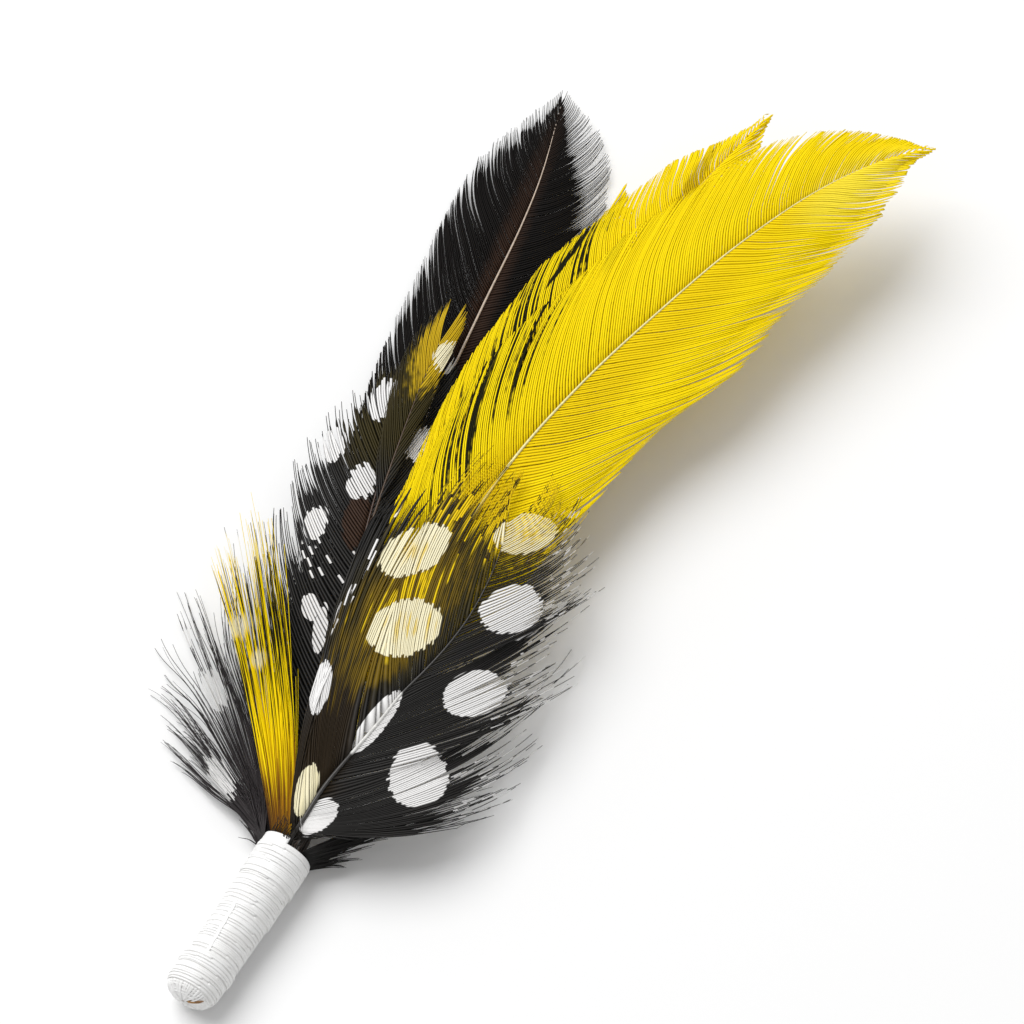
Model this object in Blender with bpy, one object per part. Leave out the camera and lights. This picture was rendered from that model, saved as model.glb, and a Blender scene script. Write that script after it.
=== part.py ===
"""A tied feather trim: spotted, black and yellow feathers in a wound thread binding.

The spray lies on its back on a surface. +Y runs along the stems to the feather tips, +X to the
right of the front feather and +Z up. The origin is under the middle of the whole spray.
"""

import math
from dataclasses import dataclass

import bmesh
import bpy
from mathutils import Vector

MM = 0.001

# The middle of the binding's mouth, on the surface, seen from the origin.
MOUTH_X = 2.5
MOUTH_Y = -42.71

# Binding, a thread sleeve wound over the stems.
BINDING_BORE_RADIUS = 2.4
BINDING_SIDES = 26
MOUTH_BAND_RADIUS = 3.0
MOUTH_BAND_LENGTH = 3.2
WAIST_RADIUS = 2.88
END_BAND_RADIUS = 3.1
END_BAND_START = 12.4
END_BAND_END = 15.7
BINDING_LENGTH = 17.3
END_EYE_RADIUS = 1.1
END_WALL = 1.2
BAND_STEP = 0.25

# One flat of the end band lies on the surface.
BINDING_AXIS_Z = END_BAND_RADIUS * math.cos(math.pi / BINDING_SIDES)

# Stems and vanes.
STEM_END_Y = -14.8
LONGEST_STEM_END_Y = -17.0
STEM_STRAIGHT_Y = 0.6
STEM_WIDTH = 0.7
STEM_DEPTH = 0.72
RACHIS_TIP_SHARE = 0.55
VANE_DEPTH_SHARE = 0.55
NOTCH_SHARE = 0.74
BARB_SHARES = (0.4, 0.74, 1.0)
BARB_CURL = 0.12
STEM_STEP = 2.6
CURVE_STEPS = 40


@dataclass(frozen=True)
class Feather:
    """One feather, in millimetres from the binding's mouth.

    seat is where the stem lies in the binding, right and up from its axis. course is the middle
    line from there to the tip. The vanes begin at vane_start along +Y, and locks counts their
    pointed locks on each side. Lengths, angles from the stem in degrees and drops below it are
    profiles from the first barb to the last.
    """

    name: str
    material: str
    seat: tuple
    course: tuple
    vane_start: float
    locks: int
    left_lengths: tuple
    right_lengths: tuple
    left_angles: tuple
    right_angles: tuple
    left_drops: tuple
    right_drops: tuple
    stem_end: float = STEM_END_Y


FEATHERS = (
    Feather(
        name="black_feather",
        material="black_barbs",
        seat=(0.0, -1.6),
        course=(
            (-4.2, 17, 1.5),
            (-9.6, 36, 1.7),
            (-13.2, 52, 1.8),
            (-15.3, 66, 1.8),
            (-16.8, 77, 1.6),
            (-18.2, 84, 1.4),
            (-20.2, 90.8, 1.1),
        ),
        vane_start=34,
        locks=12,
        left_lengths=(16, 17, 18, 18, 14, 6),
        right_lengths=(18, 19, 19, 17, 12, 4),
        left_angles=(26, 27, 27, 26, 26, 14),
        right_angles=(26, 27, 28, 30, 32, 14),
        left_drops=(0.8, 1.0, 1.0, 0.9, 0.6, 0.2),
        right_drops=(0.8, 0.8, 0.8, 0.8, 0.5, 0.2),
    ),
    Feather(
        name="spotted_side_tuft",
        material="spotted_barbs",
        seat=(-1.15, -1.1),
        course=(
            (-4.8, 5, 2.2),
            (-10.5, 10.5, 2.3),
            (-17, 17.5, 2.0),
            (-20, 21.5, 1.7),
        ),
        vane_start=2,
        locks=7,
        left_lengths=(18, 18, 14, 11, 8, 6),
        right_lengths=(9, 10, 11, 11, 10, 8),
        left_angles=(34, 28, 24, 20, 16, 12),
        right_angles=(22, 22, 20, 18, 16, 12),
        left_drops=(1.2, 1.4, 1.3, 1.0, 0.6, 0.3),
        right_drops=(0.2, 0.3, 0.3, 0.3, 0.2, 0.1),
    ),
    Feather(
        name="spotted_back_feather",
        material="spotted_barbs",
        seat=(0.0, -0.5),
        course=(
            (-2.1, 6.1, 2.8),
            (-4.6, 12.3, 3.1),
            (-7.6, 21.4, 3.3),
            (-9.2, 32.9, 3.3),
            (-10.9, 43.0, 3.2),
            (-12.8, 49.2, 3.1),
            (-14.4, 55.4, 3.0),
        ),
        vane_start=13,
        locks=10,
        left_lengths=(14, 16, 16, 14, 11, 4),
        right_lengths=(12, 14, 16, 14, 10, 4),
        left_angles=(20, 24, 26, 26, 24, 10),
        right_angles=(22, 24, 26, 26, 24, 10),
        left_drops=(0.5, 0.5, 0.5, 0.5, 0.4, 0.1),
        right_drops=(0.5, 0.5, 0.5, 0.5, 0.4, 0.1),
        stem_end=LONGEST_STEM_END_Y,
    ),
    Feather(
        name="spotted_left_feather",
        material="spotted_barbs",
        seat=(-1.2, 0.0),
        course=(
            (-2.7, 6.1, 3.9),
            (-4.9, 12.3, 4.3),
            (-8.4, 25.5, 4.5),
            (-12.3, 38.0, 4.5),
            (-14.6, 45.6, 4.4),
            (-16.8, 52.6, 4.3),
        ),
        vane_start=6,
        locks=11,
        left_lengths=(20, 22, 20, 16, 11, 4),
        right_lengths=(8, 10, 12, 12, 9, 4),
        left_angles=(20, 28, 31, 32, 26, 10),
        right_angles=(20, 22, 22, 22, 20, 10),
        left_drops=(0.8, 1.2, 1.6, 1.4, 1.0, 0.2),
        right_drops=(0.2, 0.3, 0.4, 0.4, 0.2, 0.1),
    ),
    Feather(
        name="yellow_small_feather",
        material="yellow_barbs",
        seat=(0.0, 0.6),
        course=(
            (-1.7, 6.1, 4.9),
            (-5.5, 16.4, 5.4),
            (-10.8, 34.7, 5.5),
            (-14.6, 50.7, 5.5),
            (-16.0, 58.5, 5.3),
        ),
        vane_start=24,
        locks=7,
        left_lengths=(8, 9, 10, 9, 8, 6),
        right_lengths=(8, 9, 10, 9, 8, 6),
        left_angles=(14, 16, 16, 16, 14, 8),
        right_angles=(14, 16, 16, 16, 14, 8),
        left_drops=(0.3, 0.3, 0.3, 0.3, 0.3, 0.3),
        right_drops=(0.2, 0.2, 0.2, 0.2, 0.2, 0.2),
    ),
    Feather(
        name="yellow_side_tuft",
        material="yellow_barbs",
        seat=(-1.15, 1.1),
        course=(
            (-4.1, 7.2, 5.6),
            (-8.7, 15.4, 6.2),
            (-13.4, 23.1, 6.4),
            (-18.0, 29.0, 6.1),
        ),
        vane_start=3,
        locks=7,
        left_lengths=(10, 13, 13, 11, 9, 6),
        right_lengths=(8, 10, 11, 11, 9, 6),
        left_angles=(12, 14, 16, 16, 14, 8),
        right_angles=(8, 12, 16, 18, 14, 8),
        left_drops=(0.3, 0.6, 0.8, 0.8, 0.5, 0.2),
        right_drops=(0.2, 0.2, 0.2, 0.2, 0.2, 0.2),
    ),
    Feather(
        name="yellow_back_feather",
        material="yellow_barbs",
        seat=(1.15, -1.15),
        course=(
            (0.6, 6.0, 3.2),
            (-2.2, 18.3, 5.8),
            (-5.6, 36.6, 6.7),
            (-6.8, 50.7, 6.8),
            (-6.8, 60.7, 6.8),
            (-7.2, 70.7, 6.8),
            (-7.9, 77.6, 6.6),
        ),
        vane_start=20,
        locks=10,
        left_lengths=(16, 18, 18, 17, 14, 5),
        right_lengths=(16, 18, 18, 17, 12, 5),
        left_angles=(14, 15, 16, 17, 15, 8),
        right_angles=(20, 20, 20, 20, 20, 8),
        left_drops=(0.4, 0.4, 0.4, 0.4, 0.4, 0.4),
        right_drops=(0.2, 0.2, 0.2, 0.2, 0.2, 0.2),
    ),
    Feather(
        name="yellow_middle_feather",
        material="yellow_barbs",
        seat=(1.2, 0.0),
        course=(
            (0.7, 8.1, 4.8),
            (-1.0, 17.3, 6.6),
            (-3.6, 28.6, 7.6),
            (-5.0, 44.8, 8.1),
            (-4.2, 57.3, 8.3),
            (-2.3, 67.8, 8.6),
            (-1.2, 77.6, 9.0),
            (-0.7, 85.5, 9.2),
            (0.7, 93.5, 9.2),
        ),
        vane_start=20,
        locks=12,
        left_lengths=(18, 19, 19, 18, 14, 6),
        right_lengths=(16, 18, 20, 19, 14, 6),
        left_angles=(20, 20, 21, 22, 22, 10),
        right_angles=(20, 20, 20, 20, 18, 8),
        left_drops=(0.5, 0.5, 0.5, 0.5, 0.5, 0.5),
        right_drops=(0.2, 0.2, 0.2, 0.2, 0.2, 0.2),
    ),
    Feather(
        name="yellow_front_feather",
        material="yellow_barbs",
        seat=(1.15, 1.1),
        course=(
            (1.1, 7.0, 5.6),
            (0.2, 14.2, 7.1),
            (-1.0, 28.6, 8.9),
            (-1.1, 46.5, 9.7),
            (0.8, 58.8, 10.4),
            (4.1, 71.2, 11.3),
            (7.2, 80.9, 12.0),
            (11.4, 90.7, 12.6),
            (17.0, 99.1, 12.9),
        ),
        vane_start=20,
        locks=13,
        left_lengths=(20, 22, 23, 22, 15, 4),
        right_lengths=(18, 24, 25, 22, 15, 5),
        left_angles=(20, 20, 20, 20, 16, 8),
        right_angles=(30, 30, 30, 28, 24, 12),
        left_drops=(0.2, 0.2, 0.2, 0.2, 0.2, 0.2),
        right_drops=(0.9, 1.2, 1.4, 1.4, 0.8, 0.2),
    ),
    Feather(
        name="spotted_front_feather",
        material="spotted_barbs",
        seat=(0.0, 1.7),
        course=(
            (-0.1, 6.0, 6.4),
            (0.1, 11.2, 7.8),
            (0.9, 16.4, 9.0),
            (2.0, 23.1, 10.1),
            (3.3, 29.9, 10.8),
            (4.4, 36.1, 11.2),
            (5.2, 42.2, 11.4),
        ),
        vane_start=3.5,
        locks=12,
        left_lengths=(17, 21, 22, 21, 16, 8),
        right_lengths=(18, 24, 21.5, 17.5, 13, 8),
        left_angles=(12, 20, 25, 26, 22, 12),
        right_angles=(54, 38, 31, 28, 25, 14),
        left_drops=(0.2, 0.3, 0.4, 0.4, 0.3, 0.1),
        right_drops=(8.4, 11.4, 9.2, 4.6, 1.8, 0.3),
    ),
)

# Base colour, roughness and metallic value.
MATERIALS = {
    "thread": ((0.86, 0.86, 0.84), 0.45, 0.0),
    "spotted_barbs": ((0.035, 0.033, 0.032), 0.6, 0.0),
    "black_barbs": ((0.02, 0.015, 0.012), 0.5, 0.0),
    "yellow_barbs": ((0.88, 0.6, 0.005), 0.55, 0.0),
}


def clear_scene():
    """Removes every object of the starting scene."""
    for thing in list(bpy.data.objects):
        bpy.data.objects.remove(thing, do_unlink=True)


def make_material(name):
    """Principled material from the table above."""
    colour, roughness, metallic = MATERIALS[name]
    material = bpy.data.materials.new(name)
    material.use_nodes = True
    shader = material.node_tree.nodes["Principled BSDF"]
    shader.inputs["Base Color"].default_value = (*colour, 1.0)
    shader.inputs["Roughness"].default_value = roughness
    shader.inputs["Metallic"].default_value = metallic
    return material


def add_object(name, form, material):
    """Names a bmesh's object, with its faces pointing out and its round faces smooth."""
    bmesh.ops.recalc_face_normals(form, faces=form.faces)
    mesh = bpy.data.meshes.new(name)
    form.to_mesh(mesh)
    form.free()
    mesh.materials.append(material)
    thing = bpy.data.objects.new(name, mesh)
    bpy.context.collection.objects.link(thing)
    return thing


def in_frame(point):
    """A point measured from the binding's mouth in millimetres, as metres from the origin."""
    return Vector((point[0] + MOUTH_X, point[1] + MOUTH_Y, point[2])) * MM


def between(values, share):
    """Smooth value at a share of an evenly spaced profile."""
    last = len(values) - 1
    place = min(max(share, 0.0), 1.0) * last
    low = min(int(place), last - 1)
    part = place - low
    before = values[max(low - 1, 0)]
    start, end = values[low], values[low + 1]
    after = values[min(low + 2, last)]
    rise_in = (end - before) / (low + 1 - max(low - 1, 0))
    rise_out = (after - start) / (min(low + 2, last) - low)
    return (
        (2 * part**3 - 3 * part**2 + 1) * start
        + (part**3 - 2 * part**2 + part) * rise_in
        + (3 * part**2 - 2 * part**3) * end
        + (part**3 - part**2) * rise_out
    )


def blend(first, second, start, end, at):
    """Point at a parameter on the line through two points."""
    return first * ((end - at) / (end - start)) + second * ((at - start) / (end - start))


def smooth_course(points):
    """Centripetal curve through the points, as a dense list."""
    points = [Vector(point) for point in points]
    points.insert(0, 2 * points[0] - points[1])
    points.append(2 * points[-1] - points[-2])
    dense = []
    for a, b, c, d in zip(points, points[1:], points[2:], points[3:]):
        knots = [0.0]
        for start, end in ((a, b), (b, c), (c, d)):
            knots.append(knots[-1] + math.sqrt((end - start).length))
        for step in range(CURVE_STEPS):
            at = knots[1] + (knots[2] - knots[1]) * step / CURVE_STEPS
            ab = blend(a, b, knots[0], knots[1], at)
            bc = blend(b, c, knots[1], knots[2], at)
            cd = blend(c, d, knots[2], knots[3], at)
            early = blend(ab, bc, knots[0], knots[2], at)
            late = blend(bc, cd, knots[1], knots[3], at)
            dense.append(blend(early, late, knots[1], knots[2], at))
    dense.append(points[-2])
    return dense


class Course:
    """A feather's middle line, read by its length."""

    def __init__(self, feather):
        x, z = feather.seat
        z += BINDING_AXIS_Z
        seat = [(x, feather.stem_end, z), (x, -7.5, z), (x, STEM_STRAIGHT_Y, z)]
        if feather.stem_end < STEM_END_Y:
            seat[0] = (0.0, feather.stem_end, BINDING_AXIS_Z)
            seat.insert(1, (x, STEM_END_Y + 1.0, z))
        self.points = smooth_course(seat + list(feather.course))
        self.lengths = [0.0]
        for start, end in zip(self.points, self.points[1:]):
            self.lengths.append(self.lengths[-1] + (end - start).length)
        self.length = self.lengths[-1]
        self.vane_start = feather.vane_start - feather.stem_end

    def at(self, length):
        """Point at a length along the line."""
        length = min(max(length, 0.0), self.length)
        after = 1
        while self.lengths[after] < length:
            after += 1
        start, end = self.lengths[after - 1], self.lengths[after]
        return self.points[after - 1].lerp(self.points[after], (length - start) / (end - start))

    def axes(self, length):
        """Directions forward, to the right and up at a length along the line."""
        reach = 0.6
        forward = (self.at(length + reach) - self.at(length - reach)).normalized()
        right = forward.cross(Vector((0, 0, 1))).normalized()
        return forward, right, right.cross(forward)


def barb_point(feather, course, side, share, out):
    """Point at a share of the way out along the barb that starts at a share of the vane."""
    lengths = feather.left_lengths if side < 0 else feather.right_lengths
    angles = feather.left_angles if side < 0 else feather.right_angles
    drops = feather.left_drops if side < 0 else feather.right_drops
    at = course.vane_start + share * (course.length - course.vane_start)
    forward, right, up = course.axes(at)
    reach = between(lengths, share) * out
    turn = math.radians(between(angles, share)) * (1 + BARB_CURL * (1 - out))
    drop = between(drops, share) * out**2
    across = right * (side * math.sin(turn) * reach)
    return course.at(at) + forward * (math.cos(turn) * reach) + across - up * drop


def stations(feather, course):
    """Lengths along the middle line: even steps on the stem, then two for each lock."""
    count = max(2, round(course.vane_start / STEM_STEP))
    stem = [course.vane_start * step / count for step in range(count)]
    rows = 2 * feather.locks
    vane = [
        course.vane_start + (course.length - course.vane_start) * row / rows
        for row in range(rows + 1)
    ]
    return stem, vane


def make_feather(feather, material):
    """A stem that tapers to the tip, with a sheet of pointed locks grown out of each side."""
    course = Course(feather)
    stem, vane = stations(feather, course)
    form = bmesh.new()
    rows = []
    for at in stem + vane:
        taper = 1 - (1 - RACHIS_TIP_SHARE) * at / course.length
        _, right, _ = course.axes(at)
        reach = right * (STEM_WIDTH / 2 * taper)
        middle = course.at(at)
        row = [form.verts.new(in_frame(middle + reach * side)) for side in (-1, 0, 1)]
        if rows:
            form.faces.new((rows[-1][0], rows[-1][1], row[1], row[0]))
            form.faces.new((rows[-1][1], rows[-1][2], row[2], row[1]))
        rows.append(row)
    vane_rows = rows[len(stem):]
    for side, column in ((-1, 0), (1, 2)):
        inner = [row[column] for row in vane_rows]
        for out in BARB_SHARES:
            edges = [form.edges.get(pair) for pair in zip(inner, inner[1:])]
            grown = bmesh.ops.extrude_edge_only(form, edges=edges)["geom"]
            fresh = {item for item in grown if isinstance(item, bmesh.types.BMVert)}
            outer = [
                next(other for edge in vert.link_edges if (other := edge.other_vert(vert)) in fresh)
                for vert in inner
            ]
            for number, vert in enumerate(outer):
                share = number / (len(outer) - 1)
                notched = number % 2 == 0 and 0 < number < len(outer) - 1
                reach = out * (NOTCH_SHARE if notched else 1)
                vert.co = in_frame(barb_point(feather, course, side, share, reach))
            inner = outer
    depth = form.verts.layers.deform.verify()
    middles = {row[1]: index for index, row in enumerate(rows)}
    for vert in form.verts:
        share = VANE_DEPTH_SHARE
        if vert in middles:
            share = 1 - (1 - RACHIS_TIP_SHARE) * middles[vert] / len(rows)
        vert[depth][0] = share
    thing = add_object(feather.name, form, material)
    thing.vertex_groups.new(name="depth")
    solidify = thing.modifiers.new("depth", "SOLIDIFY")
    solidify.thickness = STEM_DEPTH * MM
    solidify.offset = 0.0
    solidify.vertex_group = "depth"
    return thing


def binding_profile():
    """Outline of the binding's wall, distance from the axis and distance back from the mouth."""
    step = BAND_STEP
    return (
        (BINDING_BORE_RADIUS, 0.0),
        (MOUTH_BAND_RADIUS - step, 0.0),
        (MOUTH_BAND_RADIUS, step),
        (MOUTH_BAND_RADIUS, MOUTH_BAND_LENGTH - step),
        (WAIST_RADIUS, MOUTH_BAND_LENGTH),
        (WAIST_RADIUS, END_BAND_START),
        (END_BAND_RADIUS, END_BAND_START + step),
        (END_BAND_RADIUS, END_BAND_END - step),
        (WAIST_RADIUS, END_BAND_END),
        (WAIST_RADIUS - 2 * step, BINDING_LENGTH - 2 * step),
        (END_EYE_RADIUS + 2 * step, BINDING_LENGTH),
        (END_EYE_RADIUS, BINDING_LENGTH - step),
        (END_EYE_RADIUS, BINDING_LENGTH - END_WALL),
        (BINDING_BORE_RADIUS, BINDING_LENGTH - 2 * END_WALL),
    )


def make_binding(material):
    """Thread sleeve, turned about the stems' axis and open at both ends."""
    form = bmesh.new()
    axis = in_frame((0, 0, BINDING_AXIS_Z))
    verts = [
        form.verts.new(axis + Vector((radius * MM, -back * MM, 0)))
        for radius, back in binding_profile()
    ]
    edges = [form.edges.new(pair) for pair in zip(verts, verts[1:] + verts[:1])]
    bmesh.ops.spin(
        form,
        geom=verts + edges,
        cent=axis,
        axis=(0, 1, 0),
        angle=2 * math.pi,
        steps=BINDING_SIDES,
        use_merge=True,
    )
    binding = add_object("thread_binding", form, material)
    binding.data.shade_smooth()
    binding.data.set_sharp_from_angle(angle=math.radians(40))
    return binding


def main():
    """Builds the binding and its feathers."""
    clear_scene()
    materials = {name: make_material(name) for name in MATERIALS}
    make_binding(materials["thread"])
    for feather in FEATHERS:
        make_feather(feather, materials[feather.material])


main()
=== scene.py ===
"""A tied feather trim: spotted, black and yellow feathers bound in wound white thread.

Every feather is rebuilt barb by barb around the course of its CAD node, and the binding is
rebuilt as wound thread. Sizes are in millimetres from the middle of the binding's mouth on the
surface, +Y towards the feather tips, until a mesh is placed in the frame.
"""

import logging
import math
from dataclasses import dataclass, field
from enum import Enum

import bmesh
import bpy
import numpy as np
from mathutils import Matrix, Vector


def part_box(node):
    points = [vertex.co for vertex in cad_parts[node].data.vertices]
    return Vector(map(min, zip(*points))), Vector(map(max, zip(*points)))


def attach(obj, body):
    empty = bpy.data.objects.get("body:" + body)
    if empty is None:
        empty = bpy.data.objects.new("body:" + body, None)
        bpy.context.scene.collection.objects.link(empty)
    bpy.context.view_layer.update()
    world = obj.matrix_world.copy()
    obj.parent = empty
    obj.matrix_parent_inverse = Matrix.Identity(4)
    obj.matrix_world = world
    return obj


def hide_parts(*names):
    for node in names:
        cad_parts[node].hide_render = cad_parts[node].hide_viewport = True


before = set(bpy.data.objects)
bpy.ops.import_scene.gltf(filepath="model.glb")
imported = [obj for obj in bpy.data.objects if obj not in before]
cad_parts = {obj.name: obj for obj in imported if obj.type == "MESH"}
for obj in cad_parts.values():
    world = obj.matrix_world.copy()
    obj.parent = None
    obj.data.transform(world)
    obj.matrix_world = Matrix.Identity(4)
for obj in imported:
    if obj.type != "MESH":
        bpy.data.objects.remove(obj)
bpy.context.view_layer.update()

MM = 0.001
FULL_TURN = 2 * math.pi
BARB_MAP = "OFBake"
BARB_DATA = "barb"

log = logging.getLogger("feather_trim")

Profile = tuple[float, ...]
Point = tuple[float, float, float]
Colour = tuple[float, float, float]
Array = np.ndarray
Random = np.random.Generator
Socket = bpy.types.NodeSocket


class Vane(Enum):
    """Which side of the shaft a vane grows from, seen from above with the tip away."""

    LEFT = -1
    RIGHT = 1


def smooth_step(start: float, end: float, value: Array) -> Array:
    """Eased rise from 0 at start to 1 at end."""
    part = np.clip((value - start) / (end - start), 0.0, 1.0)
    return part * part * (3.0 - 2.0 * part)


def read_profile(values: Profile, share: Array) -> Array:
    """Smooth values of an evenly spaced profile at shares of the way along it."""
    knots = np.asarray(values, float)
    place = np.clip(share, 0.0, 1.0) * (len(knots) - 1)
    low = np.clip(place.astype(int), 0, len(knots) - 2)
    part = place - low
    slope = np.gradient(knots)
    return (
        (2 * part**3 - 3 * part**2 + 1) * knots[low]
        + (part**3 - 2 * part**2 + part) * slope[low]
        + (3 * part**2 - 2 * part**3) * knots[low + 1]
        + (part**3 - part**2) * slope[low + 1]
    )


def unit(vectors: Array) -> Array:
    """Vectors of length one along the last axis."""
    return vectors / np.maximum(np.linalg.norm(vectors, axis=-1, keepdims=True), 1e-9)


class Place:
    """Turns millimetres from the binding's mouth into metres in the frame."""

    def __init__(self) -> None:
        """Reads where the binding's mouth and axis are from its CAD node."""
        low, high = (np.asarray(corner, float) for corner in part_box("thread_binding"))
        self.mouth = np.array([(low[0] + high[0]) / 2, high[1], 0.0])
        self.axis_z = float(low[2] + high[2]) / 2 / MM

    def points(self, millimetres: Array | Point) -> Array:
        """Points in metres in the frame."""
        return np.asarray(millimetres, float) * MM + self.mouth


PLACE = Place()


class Course:
    """A smooth line through a feather's stem and shaft, read by its length."""

    STEP_SHARE = 40
    REACH = 0.6

    def __init__(self, points: list[Point]) -> None:
        """Threads a centripetal curve through the points."""
        ends = np.asarray(points, float)
        ends = np.vstack([2 * ends[0] - ends[1], ends, 2 * ends[-1] - ends[-2]])
        runs = [self._run(*ends[first : first + 4]) for first in range(len(ends) - 3)]
        self.points = np.vstack([*runs, ends[-2][None]])
        steps = np.linalg.norm(np.diff(self.points, axis=0), axis=1)
        self.lengths = np.concatenate([[0.0], np.cumsum(steps)])
        self.length = float(self.lengths[-1])

    def _run(self, a: Array, b: Array, c: Array, d: Array) -> Array:
        """Points of the curve from b up to c."""
        knots = np.cumsum([0.0, *(np.linalg.norm(q - p) ** 0.5 for p, q in ((a, b), (b, c), (c, d)))])
        at = np.linspace(knots[1], knots[2], self.STEP_SHARE + 1)[:-1, None]

        def blend(p: Array, q: Array, start: int, end: int) -> Array:
            """Line through two points at the knots' own pace."""
            span = knots[end] - knots[start]
            return (knots[end] - at) / span * p + (at - knots[start]) / span * q

        ab, bc, cd = blend(a, b, 0, 1), blend(b, c, 1, 2), blend(c, d, 2, 3)
        return blend(blend(ab, bc, 0, 2), blend(bc, cd, 1, 3), 1, 2)

    def at(self, length: Array) -> Array:
        """Points at lengths along the line."""
        return np.stack([np.interp(length, self.lengths, self.points[:, axis]) for axis in range(3)], -1)

    def height(self, length: Array) -> Array:
        """Heights at lengths along the line, which goes straight on beyond its end."""
        end, before = self.at(self.length), self.at(self.length - self.REACH)
        beyond = np.maximum(length - self.length, 0.0)
        return np.interp(length, self.lengths, self.points[:, 2]) + beyond * (end - before)[2] / self.REACH

    def axes(self, length: Array) -> tuple[Array, Array, Array]:
        """Directions forward, to the right and up at lengths along the line."""
        ahead = np.minimum(length + self.REACH, self.length)
        behind = np.maximum(length - self.REACH, 0.0)
        forward = unit(self.at(ahead) - self.at(behind))
        right = unit(np.cross(forward, [0.0, 0.0, 1.0]))
        return forward, right, np.cross(right, forward)


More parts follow.
